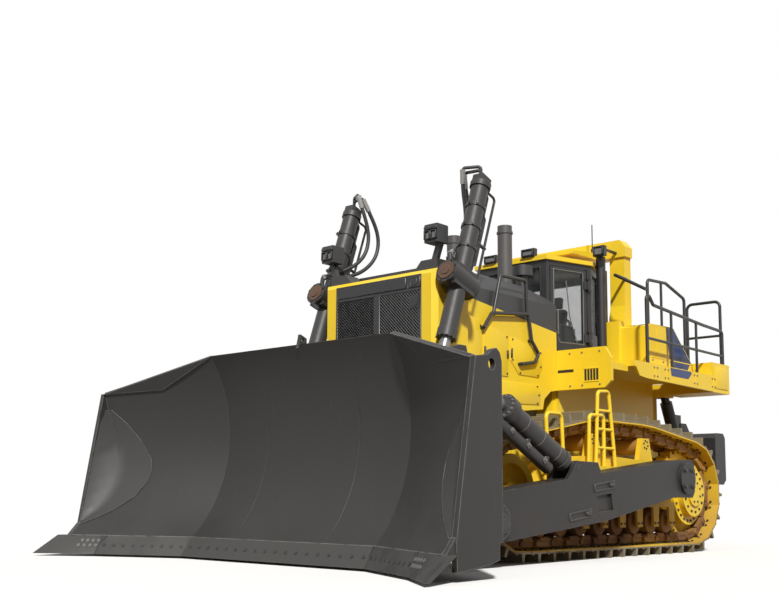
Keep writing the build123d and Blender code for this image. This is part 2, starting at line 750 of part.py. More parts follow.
def make_tank():
    # tank beside and behind the foot of the roll-over frame, sloped at its rear
    outline = [
        (1000, CAB_LOW), (1000, 3230), (950, 3265), (300, TANK_TOP), (240, 3265), (-305, 2805),
        (-400, CAB_LOW),
    ]
    outer = side_prism(outline, ROPS_OUT, TANK_EDGE)
    return outer + side_prism(outline, 800, ROPS_OUT + 10) - box(ROPS_REAR - 10, 1300, 700, ROPS_OUT, CAB_LOW, 3500)


def make_handrail():
    y = DECK_EDGE - 40
    rail = pipe([(1331, y, CAB_LOW - 20), (1331, y, 3692), (1136, y, 3491), (-430, y, 3397),
                 (-1100, y, 3375), (-1100, y, CAB_LOW - 20)], RAIL_RADIUS, 60)
    middle = rod((1331, y, 3000), (-1100, y, 2985), 20)
    post = rod((597, y, CAB_LOW - 20), (597, y, 3460), 20)
    second = rod((-200, y, CAB_LOW - 20), (-200, y, 3412), 20)
    inward = pipe([(800, ROPS_OUT, 3995), (1234, 1160, 3985), (1331, 1330, 3900), (1331, y, 3690)],
                  RAIL_RADIUS, 60)
    outer = rail + middle + post + second + inward
    outer = outer - box(-1300, 1361, y - 60, y + 60, CAB_LOW - 60, CAB_LOW) - make_platform() - make_rops()
    x = RAIL_TANK_Y
    above = pipe([(430, x, 3250), (430, x, 4030), (-150, x, 4060), (-760, x, 3900), (-760, x, 2800)],
                 RAIL_RADIUS, 70)
    above = above + rod((0, x, 3000), (0, x, 4050), 20) - make_tank() - make_platform()
    hoop = pipe([(-1190, 1640, 2800), (-1190, 1640, 3880), (-1190, 1090, 3880), (-1190, 1090, 2800)],
                RAIL_RADIUS, 90)
    hoop = hoop + rod((-1190, 1640, 3330), (-1190, 1090, 3330), 20) - make_platform()
    return [outer, above, hoop]


def make_ladder():
    y = TRACK_Y + SHOE_WIDTH / 2 + 36
    tall = pipe([(2909, y, 1114), (2833, y, 2120), (2562, y, 2142), (2410, y, 1125)], RAIL_RADIUS, 60)
    short = pipe([(3085, y, 1114), (3047, y, 1808), (2700, y, 1820), (2700, y, 1130)], RAIL_RADIUS, 60)
    parts = [tall, short]
    for z in (1400, 1640, 1880):
        parts.append(rod((2909 - (z - 1114) * 0.0755, y, z), (2410 + (z - 1125) * 0.1495, y, z), 20))
    parts.append(box(2370, 3125, FRAME_OUT, y + RAIL_RADIUS, 1080, 1170))
    front = pipe([(3990, y, 830), (4040, y, 1775), (3700, y, 1780), (3640, y, 830)], RAIL_RADIUS, 70)
    front = front + rod((3672, y, 1330), (4018, y, 1330), 20) + box(3600, 4030, FRAME_OUT, y + RAIL_RADIUS,
                                                                    790, 870)
    return [joined(parts), front]


def make_arm():
    outline = [
        (890.0, 860.0), (890.0, 1230.0), (960.0, 1300.0), (1450.0, 1281.0), (5400.0, 830.0), (5600.0, 720.0),
        (5700.0, 560.0), (5700.0, 400.0), (5620.0, 300.0), (5420.0, 281.0), (3300.0, 485.0), (1450.0, 790.0),
        (960.0, 780.0),
    ]
    arm = side_prism(outline, ARM_IN, ARM_OUT)
    arm = arm - cross_rod(PUSH_PIVOT_X, PUSH_PIVOT_Z, ARM_IN - 10, ARM_OUT - 40, TRUNNION_RADIUS + RUN_GAP)
    arm = arm - cross_rod(ARM_PIN_X, ARM_PIN_Z, ARM_IN - 10, ARM_OUT + 10, ARM_PIN_RADIUS + RUN_GAP)
    arm = arm - side_prism([(3112, 620), (3150, 820), (3500, 790), (3470, 590)], ARM_OUT - 36, ARM_OUT + 10)
    arm = arm + cross_rod(PUSH_PIVOT_X, PUSH_PIVOT_Z, ARM_OUT - 20, ARM_OUT + 40, TRUNNION_RADIUS + 40)
    for side in (-1, 1):
        inner = TILT_Y + side * (90 + SIDE_GAP)
        outer = TILT_Y + side * (140 + SIDE_GAP)
        ear = side_prism([(TILT_REAR_X - 460, 900), (TILT_REAR_X - 460, 1090),
                          (TILT_REAR_X - 400, TILT_REAR_Z + 86),
                          (TILT_REAR_X + 60, TILT_REAR_Z + 91), (TILT_REAR_X + 300, 950),
                          (TILT_REAR_X + 300, 900)],
                         min(inner, outer), max(inner, outer))
        arm = arm + ear
    pin = cross_rod(TILT_REAR_X, TILT_REAR_Z, TILT_Y - 150, TILT_Y + 150, TILT_PIN)
    return arm + pin


TILT_REACH = hypot(TILT_EYE_X - TILT_REAR_X, TILT_EYE_Z - TILT_REAR_Z)
TILT_UX = (TILT_EYE_X - TILT_REAR_X) / TILT_REACH
TILT_UZ = (TILT_EYE_Z - TILT_REAR_Z) / TILT_REACH


def tilt_at(length):
    return (TILT_REAR_X + TILT_UX * length, TILT_Y, TILT_REAR_Z + TILT_UZ * length)


def tilt_below(length, drop):
    x, y, z = tilt_at(length)
    return (x + TILT_UZ * drop, y, z - TILT_UX * drop)


def make_tilt_barrel():
    eye = cross_rod(TILT_REAR_X, TILT_REAR_Z, TILT_Y - 90, TILT_Y + 90, 95)
    neck = rod(tilt_at(40), tilt_at(200), 85)
    barrel = rod(tilt_at(200), tilt_at(TILT_BARREL_LENGTH), TILT_BARREL_RADIUS)
    cap = rod(tilt_at(200), tilt_at(280), TILT_BARREL_RADIUS + 10)
    head = rod(tilt_at(TILT_BARREL_LENGTH - 130), tilt_at(TILT_BARREL_LENGTH), TILT_BARREL_RADIUS + 34)
    guard = rod(tilt_below(430, TILT_GUARD_DROP), tilt_below(TILT_BARREL_LENGTH, TILT_GUARD_DROP),
                TILT_GUARD_RADIUS)
    whole = eye + neck + barrel + cap + head + guard
    for length in (520, 940, TILT_BARREL_LENGTH - 90):
        whole = whole + rod(tilt_at(length), tilt_below(length, TILT_GUARD_DROP), 46)
    bore = rod(tilt_at(290), tilt_at(TILT_BARREL_LENGTH + 5), TILT_ROD_RADIUS + RUN_GAP)
    hole = cross_rod(TILT_REAR_X, TILT_REAR_Z, TILT_Y - 95, TILT_Y + 95, TILT_PIN + RUN_GAP)
    return whole - bore - hole


def make_tilt_rod():
    bar = rod(tilt_at(TILT_REACH - TILT_ROD_LENGTH), tilt_at(TILT_REACH), TILT_ROD_RADIUS)
    return bar + ball(TILT_EYE_X, TILT_Y, TILT_EYE_Z, TILT_BALL)


def mould_profile(y, inner, outer):
    # curved band of the mouldboard in side view, between two depths behind its face
    a = Vector(MOULD_FOOT[0] - inner, y, MOULD_FOOT[1])
    b = Vector(MOULD_DEEP[0] - inner, y, MOULD_DEEP[1])
    c = Vector(MOULD_TOP[0] - inner, y, MOULD_TOP[1])
    d = Vector(MOULD_FOOT[0] - outer, y, MOULD_FOOT[1])
    e = Vector(MOULD_DEEP[0] - outer, y, MOULD_DEEP[1])
    f = Vector(MOULD_TOP[0] - outer, y, MOULD_TOP[1])
    front = ThreePointArc(a, b, c)
    back = ThreePointArc(f, e, d)
    return Face(Wire([front, Line(c, f), back, Line(d, a)]))


WING_LEAN = tan(radians(WING_TURN))
WING_LENGTH = BLADE_HALF - CREASE_Y


def wing(face):
    return Solid.extrude(face, Vector(WING_LENGTH * WING_LEAN, WING_LENGTH, 0))


def wing_shift(y):
    return (y - CREASE_Y) * WING_LEAN


def back_beam(points):
    # box beam behind the mouldboard, straight in the middle and swept forward on the wings
    centre = side_prism(points, -CREASE_Y, CREASE_Y)
    wire = Wire.make_polygon([Vector(x, CREASE_Y, z) for x, z in points], close=True)
    side = wing(Face(wire))
    return centre + side + mirrored(side)


def spill_plate():
    # flat plate over the top corner of a wing
    a = Vector(MOULD_TOP[0], CREASE_Y, MOULD_TOP[1] - 4)
    b = Vector(7100, BLADE_HALF, 2042)
    c = Vector(6715, 2200, 2087)
    away = (c - a).cross(b - a).normalized()
    if away.X < 0:
        away = away * -1
    face = Face(Wire.make_polygon([a + away * 14, b + away * 14, c + away * 14], close=True))
    return Solid.extrude(face, away * -60)


def make_blade():
    centre = Solid.extrude(mould_profile(-CREASE_Y, 0, MOULD_THICK), Vector(0, 2 * CREASE_Y, 0))
    side = wing(mould_profile(CREASE_Y, 0, MOULD_THICK))
    drop = 432.0
    top_cut = Solid.extrude(
        Face(Wire.make_polygon([Vector(5000, CREASE_Y, 2477), Vector(5000, BLADE_HALF + 60, 2477 - drop),
                                Vector(5000, BLADE_HALF + 60, 2700), Vector(5000, CREASE_Y, 2700)],
                                close=True)),
        Vector(3000, 0, 0))
    side = side - top_cut
    plate = side_prism([(6690, 340), (6690, 2030), (6720, 2110), (6773, 2150), (6840, 2130), (6910, 2075),
                        (7100, 2046),
                        (7395, 345), (7380, 90), (6900, 140), (6740, 180), (6740, 340)], BLADE_HALF,
                        BLADE_HALF + 60)
    plate = plate - cross_rod(6850, 1990, BLADE_HALF - 5, BLADE_HALF + 65, 55)
    lower = back_beam([(6010, 300), (6010, 900), (6235, 900), (6560, 420), (6560, 300)])
    upper = back_beam([(6000, 1750), (6000, 1950), (6180, 2050), (6240, 1950), (6180, 1700)])
    spill = spill_plate()
    whole = joined([centre, side, mirrored(side), plate, mirrored(plate), lower, upper, spill,
                    mirrored(spill)])
    eye = side_prism([(6400, 2440), (6400, 2560), (6500, 2600), (6536, 2440)], 40, 80)
    whole = whole + eye - cross_rod(6460, 2535, 35, 85, 22)
    for sign in (1, -1):
        for offset in (-150.0, 150.0):
            y = sign * LIFT_Y + offset
            ear = side_prism([(LIFT_EYE_X - 120, LIFT_EYE_Z - 60), (LIFT_EYE_X - 60, LIFT_EYE_Z + 120),
                              (LIFT_EYE_X + 140, LIFT_EYE_Z + 140), (6165, 1550), (6165, 1300), (6235, 890),
                              (6010, 600), (LIFT_EYE_X + 60, LIFT_EYE_Z - 140)], y - 27, y + 27)
            whole = whole + ear
    arm_ears = []
    for low, high in ((ARM_IN - SIDE_GAP - 66, ARM_IN - SIDE_GAP),
                      (ARM_OUT + SIDE_GAP, ARM_OUT + SIDE_GAP + 66)):
        shift = wing_shift(low)
        arm_ears.append(side_prism([(ARM_PIN_X - 150, ARM_PIN_Z - 80), (ARM_PIN_X - 150, ARM_PIN_Z + 100),
                                    (ARM_PIN_X - 60, ARM_PIN_Z + 190), (6020 + shift, 880),
                                    (6020 + shift, 320),
                                    (ARM_PIN_X + 200, 300), (ARM_PIN_X - 60, 320)], low, high))
    pin = cross_rod(ARM_PIN_X, ARM_PIN_Z, ARM_IN - SIDE_GAP - 76, ARM_OUT + SIDE_GAP + 90, ARM_PIN_RADIUS)
    for piece in arm_ears + [pin]:
        whole = whole + piece + mirrored(piece)
    for offset in (-130.0, 130.0):
        y = TILT_Y + offset
        shift = wing_shift(y)
        ear = side_prism([(TILT_EYE_X - 110, TILT_EYE_Z - 60), (TILT_EYE_X - 60, TILT_EYE_Z + 110),
                          (TILT_EYE_X + 60, TILT_EYE_Z + 110), (6310 + shift, TILT_EYE_Z - 20),
                          (6190 + shift, 1760),
                          (6020 + shift, 1760)], y - 25, y + 25)
        whole = whole + ear + mirrored(ear)
    return whole


def make_edges():
    foot_x, foot_z = MOULD_FOOT
    tip_x, tip_z = EDGE_FOOT
    points = [(foot_x + 20, foot_z - 0.5), (tip_x, tip_z), (tip_x - EDGE_THICK, tip_z),
              (foot_x - 60, foot_z - 0.5)]
    centre = side_prism(points, -CREASE_Y, CREASE_Y)
    wire = Wire.make_polygon([Vector(x, CREASE_Y, z) for x, z in points], close=True)
    reach = 2500.0 - CREASE_Y
    side = Solid.extrude(Face(wire), Vector(reach * WING_LEAN, reach, 0))
    return [centre + side + mirrored(side)]


def make_end_bit():
    start = 2500.5
    shift = wing_shift(start)
    foot_x, foot_z = MOULD_FOOT
    tip_x, tip_z = EDGE_FOOT
    inner = [(foot_x + 20, foot_z - 0.5), (tip_x, tip_z), (tip_x - EDGE_THICK, tip_z),
             (foot_x - 60, foot_z - 0.5)]
    wire = Wire.make_polygon([Vector(x + shift, start, z) for x, z in inner], close=True)
    outer_y = 3102.0
    far = [(7600, foot_z - 0.5), (FRONT_REACH, tip_z), (FRONT_REACH - EDGE_THICK, tip_z),
           (7500, foot_z - 0.5)]
    far_wire = Wire.make_polygon([Vector(x, outer_y, z) for x, z in far], close=True)
    return Solid.make_loft([wire, far_wire], ruled=True)


LIFT_REACH = hypot(LIFT_EYE_X - YOKE_X, LIFT_EYE_Z - YOKE_Z)
LIFT_UX = (LIFT_EYE_X - YOKE_X) / LIFT_REACH
LIFT_UZ = (LIFT_EYE_Z - YOKE_Z) / LIFT_REACH


def lift_at(length):
    return (YOKE_X + LIFT_UX * length, LIFT_Y, YOKE_Z + LIFT_UZ * length)


# Hoses from the top of each lift cylinder down to its yoke, as (x, y, z) on the left side.
HOSE_FRONT = [
    (4480, 880, 4780), (4440, 850, 4620), (4370, 832, 4420), (4350, 830, 4240), (4400, 838, 4050),
    (4530, 868, 3890),
    (4720, 930, 3770), (4930, 1040, 3680),
]
HOSE_REAR = [
    (4400, 850, 4740), (4320, 815, 4580), (4220, 795, 4390), (4190, 790, 4200), (4250, 798, 4000),
    (4400, 832, 3830),
    (4610, 880, 3710), (4860, 976, 3640),
]


def make_hose(points):
    # straight runs joined by tangent arcs
    vectors = [Vector(*point) for point in points]
    radii = []
    for index in range(1, len(vectors) - 1):
        before = vectors[index] - vectors[index - 1]
        after = vectors[index + 1] - vectors[index]
        turn = radians(before.get_angle(after))
        radii.append(0.45 * min(before.length, after.length) / tan(turn / 2))
    print("hose radii", [round(radius) for radius in radii])
    path = FilletPolyline(*points, radius=radii)
    return sweep(Plane(origin=path @ 0, z_dir=path % 0) * Circle(HOSE_RADIUS), path=path)


def beyond(first, second, length):
    # point past the first one, away from the second
    way = (Vector(*first) - Vector(*second)).normalized()
    return (first[0] + way.X * length, first[1] + way.Y * length, first[2] + way.Z * length)


def hose_top(route):
    # hard line that rises from the cylinder's top and turns down into the hose
    above = beyond(route[0], route[1], 90)
    foot = (4375, LIFT_Y - 15, 4690)
    rise = (4375, LIFT_Y - 15, above[2] + 10)
    return pipe([foot, rise, above, route[0]], HOSE_RADIUS - 5, 40)


def hose_foot(route):
    # fitting that takes the hose into the yoke
    past = beyond(route[-1], route[-2], 70)
    down = (past[0] + 15, past[1] + 20, YOKE_Z + 130)
    return pipe([route[-1], past, down], HOSE_RADIUS + 4, 25)


def lift_beside(length, rearward):
    # place beside the cylinder's axis, on its rear side
    x, y, z = lift_at(length)
    return (x + LIFT_UZ * rearward, y, z - LIFT_UX * rearward)


def make_lift_barrel():
    tube = rod(lift_at(-LIFT_BARREL_UP), lift_at(LIFT_BARREL_DOWN), LIFT_BARREL_RADIUS)
    head = rod(lift_at(LIFT_BARREL_DOWN - 110), lift_at(LIFT_BARREL_DOWN), LIFT_BARREL_RADIUS + 10)
    cap = rod(lift_at(-LIFT_BARREL_UP), lift_at(-LIFT_BARREL_UP + 70), LIFT_BARREL_RADIUS + 20)
    lean = -atan2(LIFT_UX, -LIFT_UZ) * 180 / pi
    yoke = Location((YOKE_X, LIFT_Y, YOKE_Z), (0, lean, 0))
    block = yoke * Box(400, 236, 280)
    disc = yoke * rod((-238, 0, 0), (262, 0, 0), YOKE_DISC)
    shaft = cross_rod(YOKE_X, YOKE_Z, GUARD_HALF - 40, LIFT_Y, YOKE_SHAFT)
    whole = tube + head + cap + block + disc + shaft
    for length in (-1050, -760, -470):
        whole = whole + rod(lift_at(length), lift_at(length + 46), LIFT_BARREL_RADIUS + 12)
        whole = whole + rod(lift_at(length + 23), lift_beside(length + 23, 170), 18)
    line = pipe([lift_beside(-1290, 40), lift_beside(-1290, 170), lift_beside(-230, 170),
                 lift_beside(-180, 60)], 24, 50)
    top = Location(lift_at(-LIFT_BARREL_UP - 45), (0, lean, 0)) * Box(190, 150, 100)
    whole = whole + line + top
    for route in (HOSE_FRONT, HOSE_REAR):
        whole = whole + hose_top(route) + hose_foot(route)
    bore = rod(lift_at(-LIFT_BARREL_UP + 100), lift_at(LIFT_BARREL_DOWN + 5), LIFT_ROD_RADIUS + RUN_GAP)
    return whole - bore


def make_lift_rod():
    bar = rod(lift_at(LIFT_REACH - LIFT_ROD_LENGTH), lift_at(LIFT_REACH), LIFT_ROD_RADIUS)
    return bar + ball(LIFT_EYE_X, LIFT_Y, LIFT_EYE_Z, LIFT_BALL)


RIP_TOP_X = RIP_ARM_X + RIP_LINK_DX
RIP_TOP_Z = RIP_ARM_Z + RIP_LINK_DZ
RIP_BEAM_TOP_X = RIP_BEAM_X + RIP_LINK_DX
RIP_BEAM_TOP_Z = RIP_BEAM_Z + RIP_LINK_DZ
ARM_BOSS_IN = 420.0
ARM_BOSS_OUT = 600.0


def make_ripper_bracket():
    block = side_prism([(-700, 800), (-700, 2240), (-900, 2500), (-960, 2500), (-960, 800)], -640, 640)
    pieces = [block]
    for side in (1, -1):
        for low, high in ((ARM_BOSS_IN - 66, ARM_BOSS_IN - SIDE_GAP),
                          (ARM_BOSS_OUT + SIDE_GAP, ARM_BOSS_OUT + 66)):
            y0 = min(side * low, side * high)
            y1 = max(side * low, side * high)
            pieces.append(side_prism([(-940, 800), (-940, 1250), (RIP_ARM_X, RIP_ARM_Z + 130),
                                      (RIP_ARM_X - 130, RIP_ARM_Z),
                                      (RIP_ARM_X, RIP_ARM_Z - 130)], y0, y1))
        y0 = side * (ARM_BOSS_IN - 66)
        y1 = side * (ARM_BOSS_OUT + 80)
        pieces.append(cross_rod(RIP_ARM_X, RIP_ARM_Z, y0, y1, RIP_PIN))
        for offset in (-100.0, 100.0):
            y = side * RIP_LINK_Y + offset
            pieces.append(side_prism([(-940, RIP_TOP_Z - 220), (-940, RIP_TOP_Z + 220),
                                      (RIP_TOP_X, RIP_TOP_Z + 110),
                                      (RIP_TOP_X - 110, RIP_TOP_Z), (RIP_TOP_X, RIP_TOP_Z - 110)], y - 28,
                                      y + 28))
        y = side * RIP_LINK_Y
        pieces.append(cross_rod(RIP_TOP_X, RIP_TOP_Z, y - 140, y + 140, 50))
        y = side * RIP_LIFT_Y
        for offset in (-105.0, 105.0):
            pieces.append(box(RIP_LIFT_X - 90, -720, y + offset - 27, y + offset + 27, RIP_LIFT_Z - 110,
                              RIP_LIFT_Z + 90))
        y0 = min(side * 600, y + side * 132)
        y1 = max(side * 600, y + side * 132)
        pieces.append(box(RIP_LIFT_X + 115, -720, y0, y1, RIP_LIFT_Z - 110, RIP_LIFT_Z + 90))
        pieces.append(cross_rod(RIP_LIFT_X, RIP_LIFT_Z, y - 140, y + 140, 50))
    return joined(pieces)


def make_ripper_arm():
    pieces = []
    low = RIP_ARM_Z + 10
    high = RIP_ARM_Z + 130
    for side in (1, -1):
        y0 = min(side * ARM_BOSS_IN, side * ARM_BOSS_OUT)
        y1 = max(side * ARM_BOSS_IN, side * ARM_BOSS_OUT)
        bar = side_prism([(RIP_ARM_X, RIP_ARM_Z - 125), (RIP_ARM_X, RIP_ARM_Z + 125),
                          (RIP_EYE_X, RIP_EYE_Z - 20),
                          (RIP_BEAM_X, RIP_BEAM_Z + 125), (RIP_BEAM_X, RIP_BEAM_Z - 125)], y0, y1)
        bar = bar + cross_rod(RIP_ARM_X, RIP_ARM_Z, y0, y1, 125) + cross_rod(RIP_BEAM_X, RIP_BEAM_Z, y0, y1,
                                                                             125)
        bar = bar - cross_rod(RIP_ARM_X, RIP_ARM_Z, y0 - 5, y1 + 5, RIP_PIN + RUN_GAP)
        bar = bar - cross_rod(RIP_BEAM_X, RIP_BEAM_Z, y0 - 5, y1 + 5, RIP_PIN + RUN_GAP)
        pieces.append(bar)
        for offset in (-130.0, 130.0):
            y = side * RIP_LIFT_Y + offset
            pieces.append(side_prism([(RIP_EYE_X + 180, low), (RIP_EYE_X + 90, RIP_EYE_Z + 100),
                                      (RIP_EYE_X - 90, RIP_EYE_Z + 100), (RIP_EYE_X - 140, low)], y - 27,
                                      y + 27))
        y0 = min(side * (ARM_BOSS_OUT - 10), side * (RIP_LIFT_Y + 157))
        y1 = max(side * (ARM_BOSS_OUT - 10), side * (RIP_LIFT_Y + 157))
        pieces.append(box(RIP_EYE_X - 140, RIP_EYE_X + 180, y0, y1, low, high))
    cross = box(RIP_EYE_X - 370, RIP_EYE_X - 70, -ARM_BOSS_IN - 20, ARM_BOSS_IN + 20, 940, 1110)
    return joined(pieces + [cross])


def make_ripper_beam():
    front = RIP_BEAM_X - 220
    block = side_prism([(front, 1020), (front, 1820), (front - 80, 1900), (BEAM_REAR + 70, 1900),
                        (BEAM_REAR, 1820),
                        (BEAM_REAR, 1100), (BEAM_REAR + 100, 1020)], -RIP_BEAM_HALF, RIP_BEAM_HALF)
    pieces = [block - box(SHANK_REAR, SHANK_FRONT, -SHANK_HALF, SHANK_HALF, 900, 2000)]
    for side in (1, -1):
        for low, high in ((ARM_BOSS_IN - 66, ARM_BOSS_IN - SIDE_GAP),
                          (ARM_BOSS_OUT + SIDE_GAP, ARM_BOSS_OUT + 66)):
            y0 = min(side * low, side * high)
            y1 = max(side * low, side * high)
            pieces.append(side_prism([(front - 10, 1030), (front - 10, 1400), (RIP_BEAM_X, RIP_BEAM_Z + 130),
                                      (RIP_BEAM_X + 120, RIP_BEAM_Z), (RIP_BEAM_X, RIP_BEAM_Z - 130)], y0,
                                      y1))
        y0 = side * (ARM_BOSS_IN - 66)
        pieces.append(cross_rod(RIP_BEAM_X, RIP_BEAM_Z, y0, side * (ARM_BOSS_OUT + 80), RIP_PIN))
        for offset in (-125.0, 125.0):
            y = side * RIP_LINK_Y + offset
            pieces.append(side_prism([(front - 10, RIP_BEAM_TOP_Z - 330), (front - 10, RIP_BEAM_TOP_Z - 140),
                                      (RIP_BEAM_TOP_X - 90, RIP_BEAM_TOP_Z + 110),
                                      (RIP_BEAM_TOP_X + 90, RIP_BEAM_TOP_Z + 110),
                                      (RIP_BEAM_TOP_X + 110, RIP_BEAM_TOP_Z - 60)], y - 24, y + 24))
    return joined(pieces)


def make_ripper_shank():
    rear = SHANK_REAR + SEAT_GAP
    front = SHANK_FRONT - SEAT_GAP
    return side_prism([
        (rear, 2250), (front, 2250), (front, 700), (front + 100, 480), (front + 310, 330), (front + 290, 290),
        (front - 10, 400), (rear, 700)], SEAT_GAP - SHANK_HALF, SHANK_HALF - SEAT_GAP)


def make_ripper_links():
    links = []
    for side in (1, -1):
        y = side * RIP_LINK_Y
        reach = hypot(RIP_BEAM_TOP_X - RIP_TOP_X, RIP_BEAM_TOP_Z - RIP_TOP_Z)
        ux = (RIP_BEAM_TOP_X - RIP_TOP_X) / reach
        uz = (RIP_BEAM_TOP_Z - RIP_TOP_Z) / reach
        eye = cross_rod(RIP_TOP_X, RIP_TOP_Z, y - 66, y + 66, 100)
        neck = rod((RIP_TOP_X + ux * 80, y, RIP_TOP_Z + uz * 80),
                   (RIP_TOP_X + ux * 210, y, RIP_TOP_Z + uz * 210), 62)
        barrel = rod((RIP_TOP_X + ux * 200, y, RIP_TOP_Z + uz * 200),
                     (RIP_TOP_X + ux * 1000, y, RIP_TOP_Z + uz * 1000), 115)
        bar = rod((RIP_TOP_X + ux * 990, y, RIP_TOP_Z + uz * 990), (RIP_BEAM_TOP_X, y, RIP_BEAM_TOP_Z), 60)
        end = ball(RIP_BEAM_TOP_X, y, RIP_BEAM_TOP_Z, 92)
        link = eye + neck + barrel + bar + end - cross_rod(RIP_TOP_X, RIP_TOP_Z, y - 150, y + 150,
                                                           50 + RUN_GAP)
        links.append(link)
    return links


RIP_REACH = hypot(RIP_EYE_X - RIP_LIFT_X, RIP_EYE_Z - RIP_LIFT_Z)
RIP_UX = (RIP_EYE_X - RIP_LIFT_X) / RIP_REACH
RIP_UZ = (RIP_EYE_Z - RIP_LIFT_Z) / RIP_REACH


def rip_at(length, y):
    return (RIP_LIFT_X + RIP_UX * length, y, RIP_LIFT_Z + RIP_UZ * length)


def make_ripper_barrels():
    barrels = []
    for side in (1, -1):
        y = side * RIP_LIFT_Y
        eye = cross_rod(RIP_LIFT_X, RIP_LIFT_Z, y - 72, y + 72, 95)
        whole = eye + rod(rip_at(60, y), rip_at(210, y), 66) + rod(rip_at(200, y), rip_at(RIP_BARREL, y), 95)
        whole = whole - rod(rip_at(230, y), rip_at(RIP_BARREL + 5, y), RIP_ROD + RUN_GAP)
        barrels.append(whole - cross_rod(RIP_LIFT_X, RIP_LIFT_Z, y - 150, y + 150, 50 + RUN_GAP))
    return barrels


def make_ripper_rods():
    rods = []
    for side in (1, -1):
        y = side * RIP_LIFT_Y
        bar = rod(rip_at(RIP_ROD_START, y), rip_at(RIP_REACH - 20, y), RIP_ROD)
        rods.append(bar + cross_rod(RIP_EYE_X, RIP_EYE_Z, y - 72, y + 72, 90))
    return rods


def make_cab_lamps():
    lamps = []
    low = CAB_HIGH + ROOF_CAP
    for y in (-330, 330):
        lamps.append(box(CAB_FRONT - 20, CAB_FRONT + 60, y - 110, y + 110, low, low + 120))
    bracket = box(870, 1300, 960, 1000, 4380, 4410) + box(1290, 1370, 890, 1070, 4270, 4420)
    return lamps + pair(bracket)


NODES = {}


def node(name, shapes):
    solids = []
    for shape in shapes:
        for solid in shape.solids():
            solids.append(solid.moved(Location((-ORIGIN_X, 0, 0))))
    NODES[name] = Compound(solids) if len(solids) > 1 else solids[0]


node("main_frame", [make_hull()])
node("cross_shafts", make_cross_shafts())
node("track_frames", pair(make_track_frame()))
node("tracks", pair(make_track()))
node("sprockets", pair(make_sprocket()))
node("final_drives", pair(make_final_drive()) + pair(make_final_case()))
node("idlers", pair(make_idler()))
node("track_rollers", make_rollers() + [mirrored(piece) for piece in make_rollers()])
node("carrier_rollers", make_carriers() + [mirrored(piece) for piece in make_carriers()])
node("ladders", make_ladder() + [mirrored(piece) for piece in make_ladder()])
node("radiator_guard", [make_guard()])
node("grille", [make_grille()])
node("radiator", [make_radiator()])
node("engine", [make_engine()])
node("hood", [make_hood()])
node("side_panels", pair(make_side_panel()))
node("hood_rails", pair(make_hood_rail()))
node("exhaust_stacks", [make_exhaust(1), make_exhaust(-1)])
node("precleaners", [make_precleaner(1), make_precleaner(-1)])
node("hood_lamps", pair(make_hood_lamp()))
node("cab_frame", [make_cab()])
node("cab_roof", [make_cab_roof()])
node("aerial", [make_aerial()])
node("cab_glass", make_cab_glass())
node("cab_lamps", make_cab_lamps())
node("seat", [make_seat()])
node("console", make_console())
node("rollover_frame", [make_rops()])
node("platforms", pair(make_platform()))
node("rear_tanks", pair(make_tank()))
node("handrails", make_handrail() + [mirrored(piece) for piece in make_handrail()])
node("door_left", [make_door()])
node("door_left_glass", [make_door_glass()])
node("door_right", [mirrored(make_door())])
node("door_right_glass", [mirrored(make_door_glass())])
node("push_arms", pair(make_arm()))
node("blade", [make_blade()])
node("cutting_edges", make_edges())
node("end_bits", pair(make_end_bit()))
node("lift_barrel_left", [make_lift_barrel()])
node("lift_barrel_right", [mirrored(make_lift_barrel())])
node("lift_hose_left_front", [make_hose(HOSE_FRONT)])
node("lift_hose_left_rear", [make_hose(HOSE_REAR)])
node("lift_hose_right_front", [mirrored(make_hose(HOSE_FRONT))])
node("lift_hose_right_rear", [mirrored(make_hose(HOSE_REAR))])
node("lift_rod_left", [make_lift_rod()])
node("lift_rod_right", [mirrored(make_lift_rod())])
node("tilt_barrel_left", [make_tilt_barrel()])
node("tilt_barrel_right", [mirrored(make_tilt_barrel())])
node("tilt_rod_left", [make_tilt_rod()])
node("tilt_rod_right", [mirrored(make_tilt_rod())])
node("ripper_bracket", [make_ripper_bracket()])
node("ripper_arm", [make_ripper_arm()])
node("ripper_beam", [make_ripper_beam()])
node("ripper_shank", [make_ripper_shank()])
node("ripper_links", make_ripper_links())
node("ripper_barrels", make_ripper_barrels())
node("ripper_rods", make_ripper_rods())

os.makedirs("parts", exist_ok=True)
for name, shape in NODES.items():
    export_step(shape, "parts/" + name + ".step")
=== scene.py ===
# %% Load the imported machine
import math

import bmesh
import bpy
from mathutils import Matrix, Vector


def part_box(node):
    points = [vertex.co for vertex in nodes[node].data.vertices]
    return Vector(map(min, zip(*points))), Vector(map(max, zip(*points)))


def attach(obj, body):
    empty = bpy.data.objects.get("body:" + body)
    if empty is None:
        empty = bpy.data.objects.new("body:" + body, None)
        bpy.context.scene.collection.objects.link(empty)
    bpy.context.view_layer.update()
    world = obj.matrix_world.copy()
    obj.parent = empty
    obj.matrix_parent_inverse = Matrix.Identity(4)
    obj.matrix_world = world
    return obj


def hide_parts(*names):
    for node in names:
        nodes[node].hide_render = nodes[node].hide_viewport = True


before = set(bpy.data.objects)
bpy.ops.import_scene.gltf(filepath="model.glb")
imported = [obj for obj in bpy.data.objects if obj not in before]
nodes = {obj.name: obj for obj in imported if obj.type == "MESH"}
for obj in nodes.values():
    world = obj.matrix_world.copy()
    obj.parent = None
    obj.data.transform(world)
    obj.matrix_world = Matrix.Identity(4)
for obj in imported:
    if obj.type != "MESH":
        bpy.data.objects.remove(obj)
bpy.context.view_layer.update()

SCENE = bpy.context.scene

# %% [markdown]
# A bulldozer is drawn from one datum, the axis of its drive sprockets, because the track, the hull
# and the blade arms all refer to it. Every place below is given in millimetres from that axis and
# the ground, and one function turns it into metres in the shared frame. Reading the datum from the
# sprocket node keeps the dressing on the machine even when the machine's length changes.

